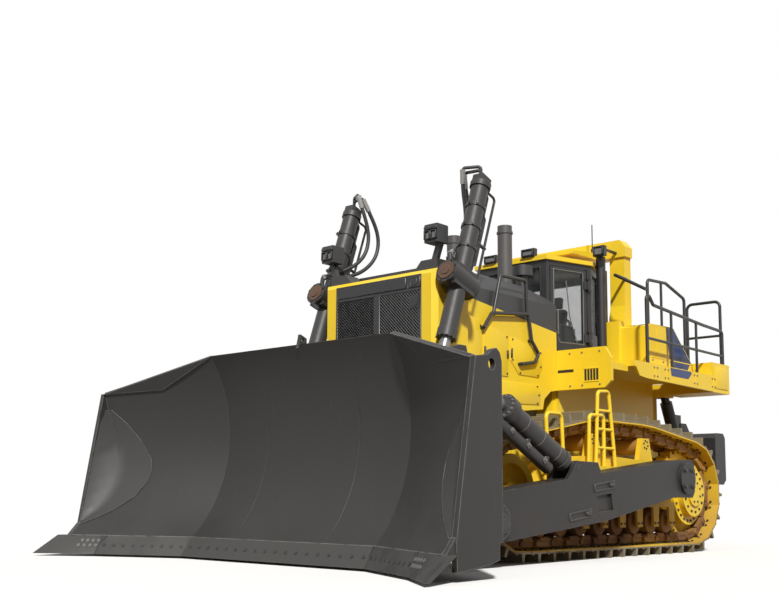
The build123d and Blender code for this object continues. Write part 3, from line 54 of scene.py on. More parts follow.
# %% Datum
low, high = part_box("sprockets")
SPROCKET_X = (low[0] + high[0]) / 2


def at(x, y, z):
    """A place in millimetres from the sprocket axis, the middle plane and the ground."""
    return Vector((SPROCKET_X + x / 1000, y / 1000, z / 1000))


SIDES = ((1, "left"), (-1, "right"))
AHEAD = Vector((1, 0, 0))
UP = Vector((0, 0, 1))
print("sprocket axis at", round(SPROCKET_X, 4))

# %% [markdown]
# The photograph is taken from the left front, low down, on a plain white ground. The camera stands
# where the machine's known lengths fall on their pixels. The shift puts the machine where it
# sits in the frame, because the photograph was cut out and set low and to the left.

# %% Camera
PHOTO_WIDE = 780
PHOTO_TALL = 600
FOCAL_PIXELS = 1069.7
AXIS_PIXEL = (348.6, 372.8)
SENSOR = 36.0
EYE_AT = (14957, 8835, 737)
EYE_ANGLES = (-136.62, 6.67, 0.51)
yaw, pitch, roll = (math.radians(angle) for angle in EYE_ANGLES)
ahead = Vector((math.cos(yaw) * math.cos(pitch), math.sin(yaw) * math.cos(pitch), math.sin(pitch)))
right = Vector((math.sin(yaw), -math.cos(yaw), 0))
up = right.cross(ahead)
tilted_right = right * math.cos(roll) + up * math.sin(roll)
tilted_up = up * math.cos(roll) - right * math.sin(roll)
eye = bpy.data.cameras.new("photo_camera")
eye.sensor_width = SENSOR
eye.lens = FOCAL_PIXELS / PHOTO_WIDE * SENSOR
eye.shift_x = (PHOTO_WIDE / 2 - AXIS_PIXEL[0]) / PHOTO_WIDE
eye.shift_y = (AXIS_PIXEL[1] - PHOTO_TALL / 2) / PHOTO_WIDE
eye.clip_end = 200
camera = bpy.data.objects.new("photo_camera", eye)
SCENE.collection.objects.link(camera)
aim = Matrix((tilted_right, tilted_up, -ahead)).transposed().to_4x4()
camera.matrix_world = Matrix.Translation(at(*EYE_AT)) @ aim
SCENE.camera = camera
print("lens", round(eye.lens, 2))

# %% [markdown]
# Small parts are welded up from a few shapes: bevelled blocks, round bars and bolts. Each helper
# adds its shape to an open mesh with one operator, so a whole set of bolts becomes one piece. The
# last helper closes the mesh, smooths its round faces, gives it a finish and a body to ride on.

# %% Shape helpers


def soften(bm, edges, width, steps):
    bmesh.ops.bevel(bm, geom=edges, offset=width, segments=steps, profile=0.5, affect="EDGES",
                    material=-1)


def block(bm, middle, size, turn=None, edge=0.0, steps=1):
    place = Matrix.Translation(middle)
    if turn is not None:
        place = place @ turn.to_4x4()
    place = place @ Matrix.Diagonal((size[0], size[1], size[2], 1))
    made = bmesh.ops.create_cube(bm, size=1, matrix=place)["verts"]
    if edge:
        soften(bm, list(dict.fromkeys(e for v in made for e in v.link_edges)), edge, steps)
    return made


def between(bm, start, end, edge=0.0):
    """A block from one corner to the opposite one."""
    size = [abs(b - a) for a, b in zip(start, end)]
    return block(bm, (start + end) / 2, size, None, edge)


def bar(bm, start, end, radius, sides=12):
    way = end - start
    place = Matrix.Translation((start + end) / 2) @ way.to_track_quat("Z", "Y").to_matrix().to_4x4()
    bmesh.ops.create_cone(bm, cap_ends=True, segments=sides, radius1=radius, radius2=radius,
                          depth=way.length, matrix=place)


def tube(bm, points, radius, sides=10, closed=False):
    """A bent rod: straight bars with a ball at each bend."""
    ends = points[1:] + points[:1] if closed else points[1:]
    for start, end in zip(points, ends):
        bar(bm, start, end, radius, sides)
    for point in points:
        place = Matrix.Translation(point)
        bmesh.ops.create_icosphere(bm, subdivisions=1, radius=radius * 1.04, matrix=place)


def bolt(bm, place, out, size):
    out = out.normalized()
    bar(bm, place - out * size * 0.2, place + out * size * 0.25, size, 10)
    bar(bm, place + out * size * 0.25, place + out * size * 0.95, size * 0.78, 6)


def bolt_ring(bm, middle, out, radius, count, size):
    out = out.normalized()
    side = out.orthogonal().normalized()
    for index in range(count):
        spoke = Matrix.Rotation(2 * math.pi * (index + 0.5) / count, 3, out) @ side
        bolt(bm, middle + spoke * radius, out, size)


def panel(bm, corners, out, thick, edge=0.0):
    """A flat plate with these corners, standing out by its thickness."""
    verts = [bmesh.ops.create_vert(bm, co=c)["vert"][0] for c in corners]
    face = bmesh.ops.contextual_create(bm, geom=verts)["faces"]
    grown = bmesh.ops.extrude_face_region(bm, geom=face)["geom"]
    top = [g for g in grown if isinstance(g, bmesh.types.BMVert)]
    bmesh.ops.translate(bm, verts=top, vec=out.normalized() * thick)
    if edge:
        soften(bm, [g for g in grown if isinstance(g, bmesh.types.BMEdge)], edge, 2)


def piece(name, body, finish, bm, replaced=(), smooth=38):
    bmesh.ops.recalc_face_normals(bm, faces=bm.faces)
    mesh = bpy.data.meshes.new(name)
    bm.to_mesh(mesh)
    bm.free()
    mesh.materials.append(finish)
    mesh.shade_smooth()
    mesh.set_sharp_from_angle(angle=math.radians(smooth))
    obj = bpy.data.objects.new(name, mesh)
    SCENE.collection.objects.link(obj)
    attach(obj, body)
    if replaced:
        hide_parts(*replaced)
    print(name, len(mesh.polygons), "faces")
    return obj


# %% [markdown]
# Finishes are shader networks. Writing each network as plain arithmetic keeps it readable, so a
# small class wraps a socket and turns +, - and * into Math nodes. One method of the paint box
# makes every other node. All patterns use Object coordinates, in metres, so a scratch is the
# same size on every piece and stays in place when the piece moves.

# %% Shader arithmetic


class Value:
    def __init__(self, box, socket):
        self.box = box
        self.socket = socket

    def math(self, kind, first, second):
        return self.box.node("ShaderNodeMath", {"operation": kind}, {0: first, 1: second})

    def __add__(self, other):
        return self.math("ADD", self, other)

    def __sub__(self, other):
        return self.math("SUBTRACT", self, other)

    def __rsub__(self, other):
        return self.math("SUBTRACT", other, self)

    def __mul__(self, other):
        return self.math("MULTIPLY", self, other)

    def step(self, start, end):
        """0 below start, 1 above end, and smooth from one to the other."""
        return self.box.node("ShaderNodeMapRange", {"interpolation_type": "SMOOTHSTEP"},
                             {"Value": self, "From Min": start, "From Max": end})


class PaintBox:
    def __init__(self, name):
        self.material = bpy.data.materials.new(name)
        self.material.use_nodes = True
        self.tree = self.material.node_tree
        self.shader = self.tree.nodes["Principled BSDF"]
        self.place = self.node("ShaderNodeTexCoord", {}, {}, "Object")

    def node(self, kind, settings, inputs, output=0):
        made = self.tree.nodes.new(kind)
        for key, value in settings.items():
            setattr(made, key, value)
        self.fill(made, inputs)
        return Value(self, made.outputs[output])

    def fill(self, made, inputs):
        for key, value in inputs.items():
            if isinstance(value, Value):
                self.tree.links.new(value.socket, made.inputs[key])
            else:
                made.inputs[key].default_value = value

    def noise(self, scale, detail=3.0, stretch=None, rough=0.55):
        place = self.place
        if stretch:
            place = self.node("ShaderNodeMapping", {}, {"Vector": place, "Scale": stretch})
        return self.node("ShaderNodeTexNoise", {},
                         {"Vector": place, "Scale": scale, "Detail": detail, "Roughness": rough})

    def mix(self, share, first, second):
        return self.node("ShaderNodeMix", {"data_type": "RGBA"}, {0: share, 6: first, 7: second}, 2)

    def height(self):
        return self.node("ShaderNodeSeparateXYZ", {}, {"Vector": self.place}, 2)

    def edges(self, radius):
        """1 on sharp edges and 0 on flat faces, from a rounded normal."""
        soft = self.node("ShaderNodeBevel", {"samples": 4}, {"Radius": radius})
        flat = self.node("ShaderNodeNewGeometry", {}, {}, "Normal")
        dot = self.node("ShaderNodeVectorMath", {"operation": "DOT_PRODUCT"},
                        {0: soft, 1: flat}, "Value")
        return (1.0 - dot).step(0.02, 0.16)

    def bump(self, height, strength, distance):
        return self.node("ShaderNodeBump", {},
                         {"Height": height, "Strength": strength, "Distance": distance})

    def set(self, **values):
        self.fill(self.shader, {key.replace("_", " "): value for key, value in values.items()})
        return self.material


def colour(red, green, blue):
    return (red, green, blue, 1.0)


def shade(rgb, share):
    return colour(*[min(1.0, c * share) for c in rgb])


# %% [markdown]
# Machine yellow is a thick two-coat paint. Close up it is even, with faint orange peel; at arm's
# length it is dusty low down and rubbed at the corners. The dust follows height above the
# ground, broken up by noise, and the rubbed corners come from the difference between a rounded
# normal and the true one.

# %% Paints


def paint(name, base, dusty, dust_top, dust_share, rubbed, rub, rough, shine=0.5):
    box = PaintBox(name)
    broad = box.noise(0.9, 4.0)
    fine = box.noise(14.0, 5.0)
    tone = (broad - 0.5) * 0.5 + (fine - 0.5) * 0.35 + 0.5
    coat = box.mix(tone, shade(base, 0.86), shade(base, 1.10))
    low_down = 1.0 - box.height().step(0.2, dust_top)
    speck = box.noise(42.0, 4.0).step(0.56, 0.70) * 0.45
    dust = low_down * (broad.step(0.32, 0.62) + speck) * dust_share
    coat = box.mix(dust, coat, colour(*dusty))
    worn = box.edges(0.012) * box.noise(9.0, 4.0).step(0.36, 0.60) * rub
    coat = box.mix(worn, coat, colour(*rubbed))
    gloss = fine * 0.14 + dust * 0.30 + worn * 0.2 + rough
    relief = box.noise(160.0, 2.0)
    return box.set(Base_Color=coat, Roughness=gloss, Specular_IOR_Level=shine,
                   Normal=box.bump(relief, 0.05, 0.002))


yellow = paint("machine_yellow", (0.88, 0.62, 0.024), (0.46, 0.29, 0.09), 1.6, 0.3,
               (0.58, 0.38, 0.07), 0.4, 0.36)
# Undercarriage yellow: darker than the hull and dustier low down, partly real dust and partly painted
# shade.
dust_and_shade_yellow = paint("undercarriage_dust_and_shade_yellow", (0.82, 0.55, 0.022), (0.30, 0.15, 0.05), 1.5, 0.6,
                   (0.34, 0.22, 0.12), 0.6, 0.45)
charcoal = paint("charcoal_paint", (0.029, 0.028, 0.028), (0.065, 0.058, 0.048), 1.0, 0.4,
                 (0.17, 0.165, 0.16), 0.8, 0.42, 0.28)
hood_grey = paint("hood_grey", (0.034, 0.034, 0.035), (0.05, 0.05, 0.05), 1.0, 0.3,
                  (0.10, 0.10, 0.10), 0.5, 0.40)
cylinder_grey = paint("cylinder_grey", (0.042, 0.041, 0.041), (0.07, 0.065, 0.055), 1.2, 0.4,
                      (0.15, 0.15, 0.145), 0.6, 0.40, 0.35)
# Brown yellow for rollers, shafts and track links: the machine yellow painted as it looks in shade, with
# soil over it.
shade_and_soil_yellow = paint("painted_shade_and_soil_yellow", (0.36, 0.185, 0.035), (0.12, 0.055, 0.025), 1.8, 0.9,
               (0.22, 0.15, 0.09), 0.6, 0.55)
black = paint("black_trim", (0.020, 0.020, 0.021), (0.05, 0.045, 0.04), 1.2, 0.3,
              (0.09, 0.09, 0.09), 0.4, 0.34)
print("paints", 7)

# %% [markdown]
# The blade is painted once and then spends its life in gravel. Its face carries faint scratches
# that run up the curve, a paler band where earth rolls, and bright rubbed rims. Stretching a noise
# along the height gives the scratches, and the same rounded-normal trick finds the rims.

# %% Blade finish
box = PaintBox("blade_paint")
scratch = box.noise(3.0, 8.0, (2.2, 7.0, 0.7), 0.65)
cross = box.noise(2.0, 8.0, (3.0, 1.0, 9.0), 0.65)
cloud = box.noise(0.8, 5.0)
marks = scratch.step(0.60, 0.76) * 0.20 + cross.step(0.64, 0.78) * 0.14
band = (1.0 - box.height().step(0.25, 1.4)) * cloud.step(0.35, 0.7)
tone = box.mix(cloud, colour(0.023, 0.0225, 0.022), colour(0.036, 0.035, 0.034))
tone = box.mix(marks, tone, colour(0.12, 0.117, 0.112))
tone = box.mix(band * 0.25, tone, colour(0.060, 0.057, 0.052))
rim = box.edges(0.016) * box.noise(5.0, 5.0).step(0.30, 0.52)
tone = box.mix(rim * 0.7, tone, colour(0.26, 0.255, 0.245))
blade_paint = box.set(Base_Color=tone, Roughness=cloud * 0.18 + band * 0.15 + 0.38,
                      Specular_IOR_Level=0.32, Normal=box.bump(scratch + cross * 0.5, 0.10, 0.004))

# %% [markdown]
# Track shoes, links and cutting edges are bare steel: grey where the ground polishes them, brown
# with baked soil where it does not. The polish sits on edges and in broad patches.

# %% Bare steel


def steel(name, clean, soil, soil_share, rough):
    box = PaintBox(name)
    patch = box.noise(2.6, 6.0)
    grain = box.noise(55.0, 4.0)
    dirt = patch.step(0.38, 0.66) * soil_share + grain.step(0.55, 0.75) * 0.2
    polish = box.edges(0.012) * patch.step(0.25, 0.55)
    tone = box.mix(dirt, colour(*clean), colour(*soil))
    tone = box.mix(polish * 0.7, tone, shade(clean, 1.9))
    return box.set(Base_Color=tone, Roughness=dirt * 0.35 + rough, Metallic=(1.0 - dirt) * 0.45,
                   Normal=box.bump(grain + patch * 2.0, 0.22, 0.003))


shoe_steel = steel("shoe_steel", (0.23, 0.20, 0.135), (0.19, 0.145, 0.07), 0.8, 0.56)
edge_steel = steel("edge_steel", (0.060, 0.059, 0.057), (0.048, 0.045, 0.041), 0.6, 0.40)
bolt_steel = steel("bolt_steel", (0.16, 0.157, 0.153), (0.10, 0.09, 0.075), 0.45, 0.38)
rust_steel = steel("rusty_steel", (0.125, 0.072, 0.045), (0.075, 0.045, 0.030), 0.6, 0.5)
fitting_steel = steel("fitting_steel", (0.30, 0.295, 0.29), (0.17, 0.16, 0.15), 0.3, 0.30)

box = PaintBox("rod_chrome")
film = box.noise(5.0, 4.0)
tone = box.mix(film, colour(0.20, 0.20, 0.20), colour(0.28, 0.28, 0.285))
rod_chrome = box.set(Base_Color=tone, Roughness=film * 0.12 + 0.34, Metallic=1.0)
print("steels", 6)

# %% [markdown]
# Glass on a working machine is lightly tinted and never quite clean. A partly clear surface with
# a smooth gloss shows the seat behind it and still catches the sky, and a faint film makes it
# uneven. Rubber, plastic, cloth and lamp glass each get the grain that the hand would feel.

# %% Glass, rubber, plastic, cloth and lamp finishes
box = PaintBox("cab_tint")
film = box.noise(1.6, 4.0)
tone = box.mix(film, colour(0.05, 0.06, 0.062), colour(0.075, 0.085, 0.088))
cab_tint = box.set(Base_Color=tone, Roughness=film * 0.05 + 0.03, Alpha=film * 0.12 + 0.16)

box = PaintBox("hose_rubber")
weave = box.noise(90.0, 3.0)
tone = box.mix(weave, colour(0.014, 0.014, 0.014), colour(0.036, 0.035, 0.034))
hose_rubber = box.set(Base_Color=tone, Roughness=weave * 0.2 + 0.40, Normal=box.bump(weave, 0.2, 0.001))

box = PaintBox("moulded_plastic")
grain = box.noise(220.0, 2.0)
tone = box.mix(grain, colour(0.030, 0.030, 0.032), colour(0.055, 0.055, 0.057))
moulded_plastic = box.set(Base_Color=tone, Roughness=grain * 0.15 + 0.5,
                          Normal=box.bump(grain, 0.25, 0.0008))

box = PaintBox("seat_fabric")
thread = box.node("ShaderNodeTexWave", {"wave_type": "BANDS", "bands_direction": "DIAGONAL"},
                  {"Vector": box.place, "Scale": 150.0, "Distortion": 1.5})
tone = box.mix(thread, colour(0.018, 0.018, 0.020), colour(0.050, 0.050, 0.055))
seat_fabric = box.set(Base_Color=tone, Roughness=thread * 0.1 + 0.82,
                      Normal=box.bump(thread, 0.4, 0.0015))

box = PaintBox("lamp_lens")
rib = box.node("ShaderNodeTexWave", {"wave_type": "BANDS", "bands_direction": "Z"},
               {"Vector": box.place, "Scale": 28.0})
tone = box.mix(rib, colour(0.10, 0.105, 0.11), colour(0.22, 0.225, 0.23))
lamp_lens = box.set(Base_Color=tone, Roughness=0.12, Normal=box.bump(rib, 0.5, 0.004))

box = PaintBox("engine_iron")
cast = box.noise(60.0, 4.0)
tone = box.mix(cast, colour(0.05, 0.047, 0.043), colour(0.12, 0.112, 0.10))
engine_iron = box.set(Base_Color=tone, Roughness=cast * 0.2 + 0.55, Normal=box.bump(cast, 0.35, 0.002))

box = PaintBox("stack_steel")
heat = box.noise(6.0, 4.0, (1.0, 1.0, 0.3))
tone = box.mix(heat, colour(0.060, 0.058, 0.058), colour(0.105, 0.100, 0.098))
stack_steel = box.set(Base_Color=tone, Roughness=heat * 0.2 + 0.40, Metallic=0.25)

box = PaintBox("stripe_blue")
wash = box.noise(5.0, 4.0)
tone = box.mix(wash, colour(0.008, 0.024, 0.10), colour(0.012, 0.034, 0.14))
stripe_blue = box.set(Base_Color=tone, Roughness=wash * 0.1 + 0.3)
print("other finishes", 8)

# %% [markdown]
# Each solid of the machine keeps its exact shape and gets its finish here. Yellow is the hull,
# decks and tanks; charcoal is what touches earth or heat; the undercarriage has a yellow that is
# darker and dustier, partly real dust and partly painted shade, and its rollers and shafts a brown
# that is the yellow painted as it looks in shade, with soil over it.

# %% Finishes of the solids
FINISHES = (
    (yellow, ("main_frame radiator_guard side_panels rollover_frame platforms rear_tanks ladders "
              "cab_roof final_drives")),
    (dust_and_shade_yellow, "track_frames idlers sprockets ripper_bracket"),
    (shade_and_soil_yellow, "track_rollers carrier_rollers cross_shafts"),
    (charcoal, "push_arms ripper_arm ripper_links ripper_barrels ripper_beam ripper_shank"),
    (hood_grey, "hood hood_lamps precleaners"),
    (cylinder_grey, "lift_barrel_left lift_barrel_right tilt_barrel_left tilt_barrel_right"),
    (black, "cab_frame door_left door_right handrails hood_rails cab_lamps grille radiator aerial"),
    (blade_paint, "blade"),
    (edge_steel, "cutting_edges end_bits"),
    (shoe_steel, "tracks"),
    (rod_chrome, "lift_rod_left lift_rod_right tilt_rod_left tilt_rod_right ripper_rods"),
    (cab_tint, "cab_glass door_left_glass door_right_glass"),
    (hose_rubber, ("lift_hose_left_front lift_hose_left_rear lift_hose_right_front "
                   "lift_hose_right_rear")),
    (moulded_plastic, "console"),
    (seat_fabric, "seat"),
    (engine_iron, "engine"),
    (stack_steel, "exhaust_stacks"),
)
for finish, names in FINISHES:
    for name in names.split():
        nodes[name].data.materials.clear()
        nodes[name].data.materials.append(finish)
print("solids with a finish:", sum(len(names.split()) for finish, names in FINISHES), "of", len(nodes))

# %% [markdown]
# The hoses on the lift cylinders are free cords: they leave a hard line at the top and go back
# into the yoke below, with slack so that the cylinder can swing. Each is one smooth spline with the
# same route points as its solid. Bright crimped sleeves show where rubber meets steel.

# %% Hoses
HOSE_ROUTES = {
    "front": [(4480, 880, 4780), (4440, 850, 4620), (4370, 832, 4420), (4350, 830, 4240),
              (4400, 838, 4050), (4530, 868, 3890), (4720, 930, 3770), (4930, 1040, 3680)],
    "rear": [(4400, 850, 4740), (4320, 815, 4580), (4220, 795, 4390), (4190, 790, 4200),
             (4250, 798, 4000), (4400, 832, 3830), (4610, 880, 3710), (4860, 976, 3640)],
}
HOSE_RADIUS = 0.026


def hose(name, body, route):
    curve = bpy.data.curves.new(name + "_line", "CURVE")
    curve.dimensions = "3D"
    spline = curve.splines.new("NURBS")
    spline.points.add(len(route) - 1)
    for point, place in zip(spline.points, route):
        point.co = (*place, 1)
    spline.order_u = 3
    spline.use_endpoint_u = True
    spline.resolution_u = 10
    curve.bevel_depth = HOSE_RADIUS
    curve.bevel_resolution = 4
    curve.use_fill_caps = True
    curve.materials.append(hose_rubber)
    obj = bpy.data.objects.new(name + "_tube", curve)
    SCENE.collection.objects.link(obj)
    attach(obj, body)
    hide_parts(name)


for side, word in SIDES:
    sleeves = bmesh.new()
    body = "lift_barrel_" + word
    for spot, points in HOSE_ROUTES.items():
        route = [at(x, side * y, z) for x, y, z in points]
        hose("lift_hose_" + word + "_" + spot, body, route)
        for first, second in ((route[0], route[1]), (route[-1], route[-2])):
            way = (second - first).normalized()
            bar(sleeves, first - way * 0.035, first + way * 0.105, 0.034, 14)
            bar(sleeves, first - way * 0.075, first - way * 0.030, 0.040, 6)
    piece("hose_sleeves_" + word, body, fitting_steel, sleeves)

# %% [markdown]
# The track is the machine's most repeated part: one shoe, two link plates, a pin and four bolts,
# forty-one times a side. The solid is one loop with the shoes in outline. Here each shoe is made
# from its own blocks, set on the same loop, so the chain shows its links and gaps. The loop runs
# round four circles: sprocket, idler and two carrier rollers.

# %% Track loop
SHOES = 41
TRACK_Y = 1385
SHOE_WIDE = 0.710
SHOE_GAP = 0.010
GROUSER = 0.105
LINK_DROP = 0.108
LINK_APART = 0.168
BOLT_APART = 0.17
PIN_REACH = 0.222
HUB_Z = 862
IDLER = (4524, 790)
CARRIERS = (2800, 1439)
CIRCLES = [(0, HUB_Z, 757), (*IDLER, 685)] + [(x, 1460, 330) for x in CARRIERS]


def loop_corners(count):
    """Places where shoe meets shoe, round the loop of straight legs and arcs."""
    pairs = list(zip(CIRCLES, CIRCLES[1:] + CIRCLES[:1]))
    turns = []
    for (x, z, r), (nx, nz, nr) in pairs:
        turns.append(math.atan2(nz - z, nx - x) - math.acos((r - nr) / math.hypot(nx - x, nz - z)))
    legs = []
    for index, ((x, z, r), (nx, nz, nr)) in enumerate(pairs):
        turn = turns[index]
        out = Vector((math.cos(turn), math.sin(turn)))
        start = Vector((x, z)) + out * r
        end = Vector((nx, nz)) + out * nr
        legs.append((start, end, 0, (end - start).length))
        swing = (turns[(index + 1) % len(turns)] - turn) % (2 * math.pi)
        legs.append((Vector((nx, nz)), turn, nr, swing * nr))
    pitch = sum(leg[3] for leg in legs) / count
    corners = []
    for index in range(count):
        way = pitch * index
        for first, second, radius, length in legs:
            if way <= length:
                break
            way -= length
        if radius:
            angle = second + way / radius
            corners.append(first + Vector((math.cos(angle), math.sin(angle))) * radius)
        else:
            corners.append(first + (second - first) * way / length)
    return corners


corners = loop_corners(SHOES)
print("shoe pitch", round((corners[1] - corners[0]).length), "mm")

# %% [markdown]
# A shoe is rolled plate with one tall bar, the grouser, across it. Its ground side is bare steel;
# its inner side keeps its yellow paint, because nothing rubs there, darkened by dust and in part by
# painted shade. The links are the yellow painted brown as it looks in shade, with soil over it. So
# the plate is two thin layers, and links and nuts are pieces of their own.

# %% Track shoes and links


def shoe(ground, inner, links, nuts, first, second, y, shift):
    start = at(first.x, y, first.y)
    end = at(second.x, y, second.y)
    along = (end - start).normalized()
    across = Vector((0, -1, 0))
    out = along.cross(across)
    turn = Matrix((along, across, out)).transposed()
    middle = (start + end) / 2
    long = (end - start).length
    lip = middle + out * 0.004 + along * (long * 0.5 - 0.030)
    block(ground, middle - out * 0.009, (long - SHOE_GAP, SHOE_WIDE, 0.018), turn)
    block(inner, middle - out * 0.026, (long - SHOE_GAP, SHOE_WIDE, 0.017), turn)
    block(ground, lip, (0.040, SHOE_WIDE, 0.016), turn)
    grouser = block(ground, middle + out * GROUSER / 2, (0.062, SHOE_WIDE, GROUSER), turn)
    tips = [v for v in grouser if (v.co - middle).dot(out) > GROUSER / 2]
    local = (Matrix.Translation(middle) @ turn.to_4x4()).inverted()
    bmesh.ops.scale(ground, verts=tips, vec=(0.55, 0.985, 1), space=local)
    for side in (-1, 1):
        for step in (-0.33, 0.33):
            place = middle + across * side * BOLT_APART + along * long * step
            bar(ground, place - out * 0.002, place + out * 0.020, 0.020, 6)
            nut = place + across * side * 0.065 - out * 0.034
            bar(nuts, nut, nut - out * 0.018, 0.017, 6)
        place = middle - out * LINK_DROP + across * side * (LINK_APART + shift)
        block(links, place, (long + 0.062, 0.046, 0.104), turn, 0.016)
        block(links, place - out * 0.046, (long * 0.62, 0.066, 0.058), turn, 0.006)
    pin = end - out * LINK_DROP
    bar(links, pin - across * PIN_REACH, pin + across * PIN_REACH, 0.036, 10)


for side, word in SIDES:
    ground, inner, links, nuts = (bmesh.new() for index in range(4))
    for index, first in enumerate(corners):
        second = corners[(index + 1) % SHOES]
        shift = 0.012 if index % 2 else -0.012
        shoe(ground, inner, links, nuts, first, second, side * TRACK_Y, shift)
    piece("track_shoes_" + word, "tractor", shoe_steel, ground, ["tracks"])
    piece("track_plates_" + word, "tractor", dust_and_shade_yellow, inner, ["tracks"])
    piece("track_links_" + word, "tractor", shade_and_soil_yellow, links, ["tracks"])
    piece("track_nuts_" + word, "tractor", charcoal, nuts, ["tracks"])

# %% [markdown]
# Final drives are covers bolted round the sprocket hub; idlers and rollers are held by caps. Rings
# of bolts say what comes off for service, so they go on every round cover that can be seen.

# %% Undercarriage bolts
DRIVE_COVERS = ((1595, 0.415, 24, 0.020), (1685, 0.285, 14, 0.019), (1715, 0.145, 8, 0.016))
FRAME_Y = 1695
FIRST_ROLLER = 720
ROLLER_STEP = 460
ROLLERS = 8
bolts = bmesh.new()
for side, word in SIDES:
    out = Vector((0, side, 0))
    for y, radius, count, size in DRIVE_COVERS:
        bolt_ring(bolts, at(0, side * y, HUB_Z), out, radius, count, size)
    bolt_ring(bolts, at(IDLER[0], side * FRAME_Y, IDLER[1]), out, 0.062, 4, 0.014)
    for index in range(ROLLERS):
        for dx in (-45, 45):
            x = FIRST_ROLLER + ROLLER_STEP * index + dx
            bolt(bolts, at(x, side * FRAME_Y, 430), out, 0.016)
    for x in reversed(CARRIERS):
        bolt_ring(bolts, at(x, side * FRAME_Y, 1500), out, 0.055, 6, 0.014)
piece("undercarriage_bolts", "tractor", charcoal, bolts)

# %% [markdown]
# The radiator sits behind two panels of woven wire, with a bare bar between them. Wire is too fine
# for the solid, which has upright bars only. Two crossing families of thin strips make the weave;
# each strip ends where it leaves its panel.

# %% Grille mesh
wires = bmesh.new()
WIRE_STEP = 0.042
WIRE = 0.0085
WIDE = 0.630
TALL = 1.775
MESH_CORNER = (5094, 55, 1482)
for side, word in SIDES:
    for lean in (1, -1):
        x, y, z = MESH_CORNER
        face = at(x + 3 * lean, side * y, z)
        for index in range(1, int((WIDE + TALL) / WIRE_STEP)):
            reach = index * WIRE_STEP
            across = (max(0.0, reach - TALL), min(reach, WIDE))
            rise = (min(reach, TALL), max(0.0, reach - WIDE))
            ends = []
            for y, z in zip(across, rise):
                y = y if lean > 0 else WIDE - y
                ends.append(face + Vector((0, side * y, z)))
            bar(wires, ends[0], ends[1], WIRE, 4)
piece("grille_mesh", "tractor", black, wires)

# %% Grille frame
GUARD_X = 5086
trim = bmesh.new()
for side, word in SIDES:
    for y, z, far_y, far_z in ((45, 1440, 690, 1484), (45, 3250, 690, 3272), (680, 1440, 712, 3272)):
        between(trim, at(GUARD_X, side * y, z), at(GUARD_X + 18, side * far_y, far_z), 0.004)
between(trim, at(GUARD_X, -52, 1440), at(5110, 52, 3272), 0.008)
between(trim, at(GUARD_X, -690, 3290), at(5102, 470, 3436), 0.010)
between(trim, at(GUARD_X, 500, 3290), at(5102, 700, 3436), 0.010)
between(trim, at(5100, 550, 3318), at(5108, 650, 3408), 0.006)
between(trim, at(GUARD_X, 520, 3030), at(5104, 700, 3200), 0.008)
bar(trim, at(5088, 605, 3115), at(5112, 605, 3115), 0.060, 24)
for y in (-690, -30, 30, 690):
    for z in (1460, 2360, 3262):
        bolt(trim, at(5103, y, z), AHEAD, 0.012)
piece("grille_frame", "tractor", black, trim)

# %% [markdown]
# Work lamps are square lenses in a dark box. The front of each box is a rim with two lenses set
# back in it; the same lens is used on the roof and on the roll-over frame.

# %% Lamps
lenses = bmesh.new()
rims = bmesh.new()


def lamp_face(middle, wide, tall):
    block(lenses, middle + AHEAD * 0.004, (0.010, wide - 0.020, tall - 0.020), None, 0.003)
    for side in (-1, 1):
        upright = middle + Vector((0.010, side * wide / 2, 0))
        level = middle + Vector((0.010, 0, side * tall / 2))
        block(rims, upright, (0.034, 0.014, tall + 0.014), None, 0.003)
        block(rims, level, (0.034, wide + 0.014, 0.014), None, 0.003)


HOOD_LAMP_Y = 873.5
for side, word in SIDES:
    for y in (-48, 48):
        lamp_face(at(5110, side * HOOD_LAMP_Y + y, 3900), 0.078, 0.100)
    block(rims, at(5005, side * HOOD_LAMP_Y, 4032), (0.20, 0.19, 0.012), None, 0.005)
    block(rims, at(5118, side * HOOD_LAMP_Y, 3985), (0.030, 0.20, 0.040), None, 0.008)
    lamp_face(at(1370, side * 980, 4345), 0.145, 0.115)
    lamp_face(at(2227, side * 330, 4262), 0.185, 0.085)
piece("lamp_lenses", "tractor", lamp_lens, lenses)
piece("lamp_rims", "tractor", black, rims)

# %% [markdown]
# The engine sides are big doors with a raised field, hinges and quarter-turn latches; the real
# ones are pressed from one sheet. A thin plate with a bevelled rim stands for each pressing, and
# small heads for the fasteners.

# %% Engine doors
DOORS = (
    ((4390, 3060), (4390, 1960), (4010, 1960), (4010, 2990)),
    ((3960, 2980), (3960, 2330), (3420, 2330), (3420, 2880)),
    ((3370, 2870), (3370, 2560), (3180, 2380), (2700, 2380), (2620, 2520), (2620, 2740)),
    ((3960, 2270), (3960, 1960), (2690, 2010), (2650, 2140), (2690, 2270)),
)
DOOR_Y = 800
HEAD_OUT = 0.011
HEAD = 0.013
for side, word in SIDES:
    doors = bmesh.new()
    latches = bmesh.new()
    out = Vector((0, side, 0))
    for outline in DOORS:
        corners_at = [at(x, side * DOOR_Y, z) for x, z in outline]
        panel(doors, corners_at, out, 0.012, 0.006)
        middle = sum(corners_at, Vector()) / len(outline)
        for corner in corners_at:
            bolt(latches, corner.lerp(middle, 0.12) + out * HEAD_OUT, out, HEAD)
        halfway = corners_at[0].lerp(corners_at[1], 0.5)
        bolt(latches, halfway.lerp(middle, 0.08) + out * HEAD_OUT, out, HEAD)
    for x, z in ((3440, 2620), (3940, 2620), (3350, 2640)):
        block(latches, at(x, side * 818, z), (0.030, 0.024, 0.11), None, 0.006)
    piece("engine_doors_" + word, "tractor", yellow, doors)
    piece("engine_latches_" + word, "tractor", black, latches)

# %% [markdown]
# Cutting edges and end bits are wear parts, held by rows of plough bolts whose heads lie flush, so
# that earth slides over them. Each plate is a flat or slightly twisted patch between four corners:
# a bolt's place and its direction both come from blending the corners. Where two plates meet, a
# dark joint shows, wider at its upper end because the plates stand at an angle.

# %% Blade bolts
sinks = bmesh.new()
heads = bmesh.new()


def patch_out(corners):
    out = (corners[1] - corners[0]).cross(corners[2] - corners[0]).normalized()
    return out if out.x > 0 else -out


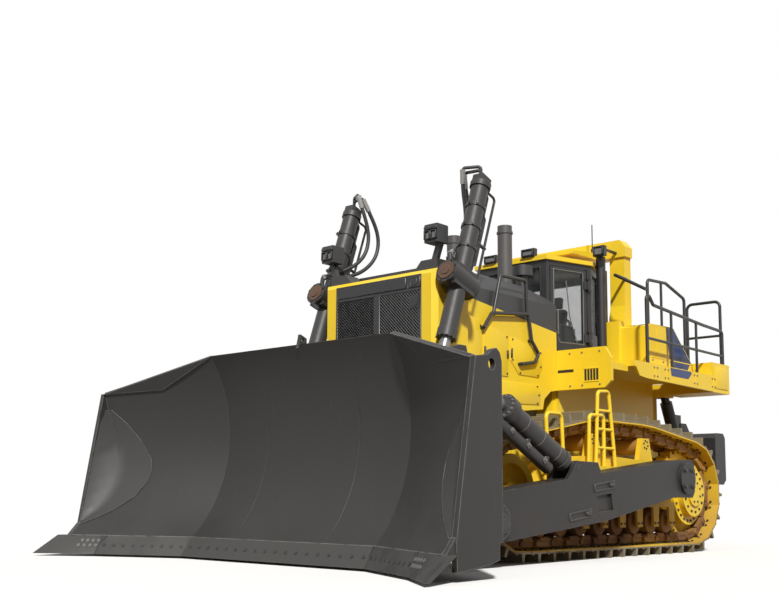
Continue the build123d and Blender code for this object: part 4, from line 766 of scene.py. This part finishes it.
def bolt_row(bm, corners, count, depth, end=1.0):
    """Flush heads on a patch with upper corners first, each at its inner and outer end."""
    out = patch_out(corners)
    for index in range(count):
        share = end * (index + 0.5) / count
        upper = corners[0].lerp(corners[1], share)
        place = upper.lerp(corners[2].lerp(corners[3], share), depth)
        bar(bm, place - out * 0.014, place + out * 0.007, 0.021, 12)


def joint(corners):
    """The dark joint at the inner end of a patch."""
    out = patch_out(corners)
    along = (corners[1] - corners[0]).normalized()
    upper = corners[0]
    lower = corners[2]
    wide = along * 0.007
    panel(sinks, [upper - wide, upper + wide, lower + wide, lower - wide], out, 0.004)
    wedge = [upper - along * 0.045, upper + along * 0.045, upper.lerp(lower, 0.5)]
    panel(sinks, wedge, out, 0.005)


EDGE_TOP = 250
EDGE_LOW = 30
CENTRE_END = (6780, 6920, 1484)
CREASE = (7320, 7460, 2500)
WING_END = (7600, 7947, 3102)


def edge_end(side, station):
    """Upper and lower end of the edge plates at one station across the blade."""
    x_top, x_low, y = station
    return at(x_top, side * y, EDGE_TOP), at(x_low, side * y, EDGE_LOW)


def patch(first, second):
    return first[0], second[0], first[1], second[1]


bolt_row(sinks, patch(edge_end(-1, CENTRE_END), edge_end(1, CENTRE_END)), 18, 0.5)
for side, word in SIDES:
    crease = edge_end(side, CREASE)
    wing = patch(edge_end(side, CENTRE_END), crease)
    tip = patch(crease, edge_end(side, WING_END))
    bolt_row(sinks, wing, 9, 0.5)
    bolt_row(heads, tip, 4, 0.28, 0.42)
    bolt_row(heads, tip, 4, 0.54, 0.42)
    joint(wing)
    joint(tip)
piece("blade_bolts", "blade", black, sinks)
piece("end_bit_bolts", "blade", bolt_steel, heads)

# %% [markdown]
# The mouldboard is rolled plate welded up from panels, and earth wears it most at its ends. A seam
# runs up each half of the middle section, and a liner plate is let into each end of the U. Their
# places are given across the blade and above the ground. A ray from ahead finds the curved face
# there, so that weld and liner lie on the plate. A small gusset closes the corner where the wing's
# lower end stands ahead of the side plate.

# %% Blade seams and liners
GUSSET = ((7380, 236), (7535, 246), (7395, 400))
GUSSET_Y = 2952
LINER = ((2905, 1838), (2731, 1664), (2553, 1444), (2407, 1214), (2370, 1080), (2381, 918),
         (2471, 725), (2645, 555), (2799, 453), (2923, 385))
LINER_END = 2960
LINER_STEPS = 4
SEAM_Y = 750
FAR_AHEAD = 9000


def on_face(y, z):
    """The place on the blade's face that a ray from ahead meets."""
    return nodes["blade"].ray_cast(at(FAR_AHEAD, y, z), -AHEAD)[1]


welds = bmesh.new()
beads = bmesh.new()
liners = bmesh.new()
gussets = bmesh.new()
for side, word in SIDES:
    panel(gussets, [at(x, side * GUSSET_Y, z) for x, z in GUSSET], Vector((0, side, 0)), 0.050)
    lift = Vector((0.88, -side * 0.47, 0)) * 0.004
    tube(welds, [on_face(side * SEAM_Y, z) for z in range(300, 2200, 100)], 0.005, 6)
    tube(beads, [on_face(side * y, z) + lift for y, z in LINER], 0.006, 8)
    made = bmesh.ops.create_grid(liners, x_segments=LINER_STEPS, y_segments=len(LINER) - 1, size=1)
    grid = made["verts"]
    for index, vert in enumerate(grid):
        row, step = divmod(index, LINER_STEPS + 1)
        y, z = LINER[row]
        vert.co = on_face(side * (y + (LINER_END - y) * step / LINER_STEPS), z) + lift
    sheet = list(dict.fromkeys(face for vert in grid for face in vert.link_faces))
    grown = bmesh.ops.extrude_face_region(liners, geom=sheet)["geom"]
    backs = [g for g in grown if isinstance(g, bmesh.types.BMVert)]
    bmesh.ops.translate(liners, verts=backs, vec=-lift * 3)
piece("blade_welds", "blade", black, welds)
piece("liner_beads", "blade", cylinder_grey, beads)
piece("blade_liners", "blade", cylinder_grey, liners)
piece("side_gussets", "blade", blade_paint, gussets)

# %% [markdown]
# A lift cylinder hangs in a trunnion yoke whose end caps are bare, rusty castings with a ring of
# bolts. Bands with a clamp bolt hold the hard line to the barrel, and two bent pipes stand off its
# rear. A tilt cylinder has a bolted gland and three plugs along its guard tube.

# %% Cylinder fittings
LIFT_YOKE = (4850, 1100, 3350)
LIFT_EYE = (5620, 1100, 1150)
TILT_FOOT = (3862, 1985, 1104)
TILT_EYE = (6150, 1985, 2216)
CAP = 0.112
CAP_BOLTS = 0.132
REAR_LINES = ((0.32, -1.34, -0.14), (0.22, -1.00, -0.30))
lift_axis = (at(*LIFT_EYE) - at(*LIFT_YOKE)).normalized()
lift_front = Vector((-lift_axis.z, 0, lift_axis.x))
tilt_axis = (at(*TILT_EYE) - at(*TILT_FOOT)).normalized()
tilt_under = Vector((tilt_axis.z, 0, -tilt_axis.x))
for side, word in SIDES:
    out = Vector((0, side, 0))
    mirror = Vector((1, side, 1))
    yoke = at(*LIFT_YOKE) * mirror
    caps = bmesh.new()
    bar(caps, yoke + lift_front * 0.255, yoke + lift_front * 0.276, CAP, 32)
    bar(caps, yoke + lift_front * 0.270, yoke + lift_front * 0.288, 0.060, 24)
    bar(caps, yoke - lift_front * 0.230, yoke - lift_front * 0.252, CAP, 32)
    piece("yoke_caps_" + word, "lift_barrel_" + word, rust_steel, caps)
    clamps = bmesh.new()
    bolt_ring(clamps, yoke + lift_front * 0.262, lift_front, CAP_BOLTS, 8, 0.014)
    bolt_ring(clamps, yoke - lift_front * 0.238, -lift_front, CAP_BOLTS, 8, 0.014)
    for length in (-1.027, -0.737, -0.447):
        band = yoke + lift_axis * length
        for way in (lift_front, (lift_front + out).normalized()):
            turn = way.to_track_quat("X", "Z").to_matrix()
            block(clamps, band + way * 0.126, (0.030, 0.030, 0.046), turn, 0.005)
            bolt(clamps, band + way * 0.138, way, 0.012)
    bolt_ring(clamps, yoke + lift_axis * 0.776, lift_axis, 0.118, 12, 0.013)
    for reach, top, low in REAR_LINES:
        spots = ((top, 0.10), (top, reach - 0.03), (top + 0.03, reach), (low - 0.03, reach), (low, 0.16))
        pipe = [yoke + lift_axis * length - lift_front * away for length, away in spots]
        tube(clamps, pipe, 0.017, 8)
    standoff = yoke - lift_axis * 0.62
    bar(clamps, standoff - lift_front * 0.10, standoff - lift_front * 0.34, 0.022, 8)
    piece("lift_clamps_" + word, "lift_barrel_" + word, black, clamps)
    gland = bmesh.new()
    foot = at(*TILT_FOOT) * mirror
    bolt_ring(gland, foot + tilt_axis * 1.5, tilt_axis, 0.128, 14, 0.016)
    for length in (0.62, 0.98, 1.33):
        plug = foot + tilt_axis * length + tilt_under * 0.215 + out * 0.068
        bar(gland, plug, plug + out * 0.016, 0.034, 16)
        bolt(gland, plug + out * 0.014, out, 0.022)
    for length in (0.42, 0.78, 1.12):
        bar(gland, foot + tilt_axis * length, foot + tilt_axis * (length + 0.012), 0.1245, 40)
    piece("tilt_gland_" + word, "tilt_barrel_" + word, bolt_steel, gland)

# %% [markdown]
# The push arms are box beams. Two long tie-down slots with raised rims lie on the outer face of
# each, and the trunnion cap at the rear is held by four big bolts.

# %% Arm fittings
SLOTS = ((3319, 905), (3882, 560))
SLOT_LEAN = 7
ARM_Y = 2132
TRUNNION = (1150, 1040)
ARM_PIN = (5560, 482)
for side, word in SIDES:
    fittings = bmesh.new()
    out = Vector((0, side, 0))
    tilt = Matrix.Rotation(math.radians(SLOT_LEAN), 3, "Y")
    for x, z in SLOTS:
        middle = at(x, side * ARM_Y, z)
        for sign in (1, -1):
            block(fittings, middle + tilt @ UP * sign * 0.040, (0.46, 0.020, 0.024), tilt, 0.006)
            block(fittings, middle + tilt @ AHEAD * sign * 0.23, (0.030, 0.022, 0.10), tilt, 0.006)
        block(fittings, middle - tilt @ AHEAD * 0.17, (0.10, 0.050, 0.050), tilt, 0.010)
    for dx, dz in ((-110, 110), (110, 110), (110, -110), (-110, -110)):
        bolt(fittings, at(TRUNNION[0] + dx, side * 2168, TRUNNION[1] + dz), out, 0.034)
    pin_x, pin_z = ARM_PIN
    bar(fittings, at(pin_x, side * 2150, pin_z), at(pin_x, side * 2232, pin_z), 0.070, 24)
    piece("arm_fittings_" + word, "push_arms", cylinder_grey, fittings)

# %% [markdown]
# Platforms are plate work: skirts with seams and bolts, a louvre in the front bulkhead, treads
# that stop boots slipping, and filler caps on the tanks. A slanted stripe marks the rear tank and
# runs on over the skirt, with nothing written on it.

# %% Deck fittings
plates = bmesh.new()
studs = bmesh.new()
slots = bmesh.new()
SKIRT_Y = 1741
TANK_Y = 1562
WALL_X = 2237
SEAMS = (1180, 860, -60, -660)
LOUVRE_Y = 1251
LOUVRE_STEP = 45
FIRST_TREAD = 1700
TREAD_STEP = 190
REAR_DOOR = ((-1140, 2780), (-1140, 2450), (-720, 2450), (-720, 2780))
for side, word in SIDES:
    out = Vector((0, side, 0))
    for x in SEAMS:
        block(plates, at(x, side * (SKIRT_Y + 1), 2530), (0.010, 0.008, 0.20))
        for dx in (-45, 45):
            for z in (2590, 2470):
                bolt(studs, at(x + dx, side * SKIRT_Y, z), out, HEAD)
    panel(plates, [at(x, side * SKIRT_Y, z) for x, z in REAR_DOOR], out, 0.010, 0.004)
    block(plates, at(300, side * TANK_Y, 2785), (1.28, 0.008, 0.014))
    block(plates, at(760, side * TANK_Y, 3010), (0.012, 0.008, 0.44))
    for x in (920, 600, 280, -20):
        bolt(studs, at(x, side * TANK_Y, 2740), out, HEAD)
    for y in (1010, 1200, 1470):
        for z in (2740, 2290):
            bolt(studs, at(WALL_X + 1, side * y, z), AHEAD, HEAD)
    # Dark sheets flush in the louvre's openings and in the slot beside them are painted shade.
    for index in range(5):
        y = LOUVRE_Y + LOUVRE_STEP * index
        block(slots, at(WALL_X, side * y, 2425), (0.006, 0.032, 0.150))
    block(slots, at(WALL_X, side * 940, 2500), (0.006, 0.250, 0.040))
    for z in (2336, 2514):
        between(plates, at(2234, side * 1222, z - 8), at(2246, side * 1462, z + 8), 0.003)
    bar(studs, at(60, side * 1330, 3090), at(30, side * 1330, 3180), 0.075, 24)
    for index in range(12):
        x = FIRST_TREAD - TREAD_STEP * index
        between(plates, at(x, side * 1600, 2639), at(x - 60, side * 1730, 2645))
piece("deck_plates", "tractor", yellow, plates)
piece("deck_studs", "tractor", bolt_steel, studs)
piece("deck_slot_shade", "tractor", black, slots)

# %% Tank stripe
stripe = bmesh.new()
STRIPE = ((490, 3258), (270, 3262), (225, 3230), (-75, 2975), (-270, 2812), (-150, 2660),
          (360, 2660))
SKIRT_STRIPE = ((738, 2630), (84, 2630), (76, 2597), (189, 2514), (709, 2516))
for side, word in SIDES:
    out = Vector((0, side, 0))
    panel(stripe, [at(x, side * (TANK_Y - 1), z) for x, z in STRIPE], out, 0.004)
    panel(stripe, [at(x, side * SKIRT_Y, z) for x, z in SKIRT_STRIPE], out, 0.003)
piece("tank_stripe", "tractor", stripe_blue, stripe)

# %% [markdown]
# A pale line round each door window is a painted highlight on the edge of its frame, and each
# door has a pull handle. The door wall runs at an angle to the machine, so its trim is set out by
# distance along that wall and height. It rides on the door and opens with it. The wipers, the round
# posts and the frames of the rear side windows stay on the cab.

# %% Cab trim
DOOR_CORNER = (2167, 600)
WALL = Vector((-817, 230, 0)).normalized()
WALL_OUT = Vector((WALL.y, -WALL.x, 0))


def on_door(side, along, height, out):
    place = at(*DOOR_CORNER, height) + WALL * along / 1000 + WALL_OUT * out / 1000
    return Vector((place.x, side * place.y, place.z))


WINDOW_HIGHLIGHT = ((138, 3202, -2), (238, 2966, -2), (700, 2966, -2), (700, 4019, -2), (138, 4019, -2))
PULL = ((170, 3080, 0), (170, 3080, 45), (170, 3420, 45), (170, 3420, 0))
WIPER = ((560, 2990, 6), (420, 3350, 14), (360, 3860, 14))
POST_X = 1180
POST_Y = 905
for side, word in SIDES:
    highlight_and_trim = bmesh.new()
    # The pale steel tube round the door window is a painted highlight on the frame's edge.
    tube(highlight_and_trim, [on_door(side, *place) for place in WINDOW_HIGHLIGHT], 0.009, 8, True)
    tube(highlight_and_trim, [on_door(side, *place) for place in PULL], 0.011, 8)
    tube(highlight_and_trim, [on_door(side, *place) for place in WIPER], 0.008, 6)
    piece("door_trim_" + word, "door_" + word, bolt_steel, highlight_and_trim)
    post = bmesh.new()
    bar(post, at(POST_X, side * POST_Y, 2640), at(POST_X, side * POST_Y, 4290), 0.068, 24)
    for z in (2900, 3400, 3900, 4150):
        block(post, at(POST_X, side * 890, z), (0.12, 0.10, 0.07), None, 0.012)
    between(post, at(900, side * 822, 2640), at(965, side * 850, 4140), 0.006)
    piece("cab_post_" + word, "tractor", black, post)

wipers = bmesh.new()
for y in (-250, 250):
    tube(wipers, [at(2172, y, 3300), at(2186, y * 0.6, 3560), at(2182, y * 0.4, 3900)], 0.009, 6)
    block(wipers, at(2150, y * 0.5, 3740), (0.020, 0.018, 0.50), None, 0.004)
    bar(wipers, at(2160, y, 3290), at(2182, y, 3290), 0.026, 16)
SCREEN = ((-500, 3280), (500, 3280), (500, 4040), (-500, 4040))
tube(wipers, [at(2167, y, z) for y, z in SCREEN], 0.011, 8, True)
piece("cab_wipers", "tractor", black, wipers)

# %% [markdown]
# The operator sits in a high-backed seat with armrests and two control levers. The cushions are
# stuffed, so each starts as a divided block whose faces are pushed out to a crown while its sides
# pull in between the corners, and a subdivision rounds it. The frame under them stays rigid.

# %% Seat


def cushion(name, middle, size, lean, crown):
    bm = bmesh.new()
    bmesh.ops.create_cube(bm, size=1)
    bmesh.ops.subdivide_edges(bm, edges=bm.edges[:], cuts=7, use_grid_fill=True)
    for v in bm.verts:
        x, y, z = v.co * 2
        v.co.z *= 0.80 + crown * (1 - x * x) * (1 - y * y)
        v.co.x *= 1 - 0.05 * (1 - y * y)
        v.co.y *= 1 - 0.05 * (1 - x * x)
        if abs(abs(y) - 0.5) < 0.1:
            v.co.z *= 0.90
    for share in (0.6, 0.4):
        bmesh.ops.smooth_vert(bm, verts=bm.verts[:], factor=share, use_axis_x=True, use_axis_y=True,
                              use_axis_z=True)
    turn = Matrix.Rotation(math.radians(lean), 4, "Y")
    place = Matrix.Translation(middle) @ turn @ Matrix.Diagonal((*size, 1))
    bmesh.ops.transform(bm, verts=bm.verts[:], matrix=place)
    obj = piece(name, "tractor", seat_fabric, bm, ["seat"], 80)
    soft = obj.modifiers.new("soft", "SUBSURF")
    soft.levels = 1
    soft.render_levels = 1


cushion("seat_cushion", at(1340, 0, 3135), (0.56, 0.54, 0.13), 0, 0.20)
cushion("seat_back", at(1105, 0, 3400), (0.42, 0.52, 0.12), 81, 0.20)
cushion("seat_headrest", at(1045, 0, 3715), (0.18, 0.32, 0.10), 81, 0.20)
base = bmesh.new()
between(base, at(1130, -220, 2700), at(1450, 220, 2790), 0.02)
between(base, at(1180, -150, 2790), at(1400, 150, 3000), 0.03)
between(base, at(1090, -250, 3000), at(1600, 250, 3075), 0.02)
for y in (-60, 60):
    bar(base, at(1075, y, 3560), at(1050, y, 3700), 0.010)
piece("seat_frame", "tractor", moulded_plastic, base, ["seat"])

# %% Cab controls
controls = bmesh.new()


def leaning(degrees):
    return Matrix.Rotation(math.radians(degrees), 3, "Y")


for side, word in SIDES:
    between(controls, at(1230, side * 340, 3262), at(1600, side * 460, 3300), 0.012)
    bar(controls, at(1560, side * 400, 3290), at(1600, side * 395, 3430), 0.016)
    block(controls, at(1606, side * 394, 3470), (0.06, 0.05, 0.11), None, 0.018, 2)
block(controls, at(1850, 0, 3500), (0.05, 0.42, 0.24), leaning(-20), 0.012)
block(controls, at(1840, -230, 3480), (0.04, 0.10, 0.18), leaning(-15), 0.012)
for y in (-140, 140):
    block(controls, at(1740, y, 2800), (0.14, 0.12, 0.03), leaning(30), 0.006)
piece("cab_controls", "tractor", moulded_plastic, controls)

# %% [markdown]
# The ripper's shank hangs in its beam on two pins, so that it can be set deeper or shallower. The
# pin ends on both sides are enough to read as such.

# %% Ripper pins
pins = bmesh.new()
for side, word in SIDES:
    for z in (1500, 1900):
        bar(pins, at(-2690, side * 70, z), at(-2690, side * 115, z), 0.055, 16)
piece("ripper_pins", "ripper_beam", bolt_steel, pins)

# %% [markdown]
# The photograph was cut out and set on white, but the machine in it stood in low sun on brown
# earth: flat sides are bright and every underside is warm and dark. So the floor and the sky are
# white to the camera, to gloss and through glass, while the light they give back is that of brown
# ground and a dim sky. One sun from the left front does the rest.

# %% Floor
floor_mesh = bpy.data.meshes.new("floor")
bm = bmesh.new()
bmesh.ops.create_grid(bm, x_segments=1, y_segments=1, size=60)
bm.to_mesh(floor_mesh)
bm.free()
floor = bpy.data.objects.new("floor", floor_mesh)
SCENE.collection.objects.link(floor)


def seen_directly(tree):
    """1 for rays from the camera, from gloss or through glass."""
    path = tree.nodes.new("ShaderNodeLightPath")
    total = path.outputs["Is Camera Ray"]
    for name in ("Is Glossy Ray", "Is Transmission Ray"):
        larger = tree.nodes.new("ShaderNodeMath")
        larger.operation = "MAXIMUM"
        tree.links.new(total, larger.inputs[0])
        tree.links.new(path.outputs[name], larger.inputs[1])
        total = larger.outputs[0]
    return total


box = PaintBox("pale_floor")
seen = Value(box, seen_directly(box.tree))
tone = box.mix(seen, colour(0.20, 0.11, 0.06), colour(0.96, 0.96, 0.96))
floor_mesh.materials.append(box.set(Base_Color=tone, Roughness=0.9, Specular_IOR_Level=0.0))

# %% Sky and sun
SKY_LIGHT = 0.24
SKY_SEEN = 1.0
SUN_WAY = Vector((-0.54, -0.54, -0.64))
world = bpy.data.worlds.new("studio")
SCENE.world = world
world.use_nodes = True
tree = world.node_tree
strength = tree.nodes.new("ShaderNodeMapRange")
strength.inputs["To Min"].default_value = SKY_LIGHT
strength.inputs["To Max"].default_value = SKY_SEEN
tree.links.new(seen_directly(tree), strength.inputs["Value"])
tree.links.new(strength.outputs[0], tree.nodes["Background"].inputs["Strength"])
tree.nodes["Background"].inputs["Color"].default_value = (1, 1, 1, 1)

sun = bpy.data.lights.new("sun", "SUN")
sun.energy = 4.2
sun.angle = math.radians(4)
sun.color = (1.0, 0.98, 0.95)
sunlight = bpy.data.objects.new("sun", sun)
SCENE.collection.objects.link(sunlight)
sunlight.rotation_euler = SUN_WAY.to_track_quat("-Z", "Y").to_euler()
SCENE.view_settings.view_transform = "Standard"
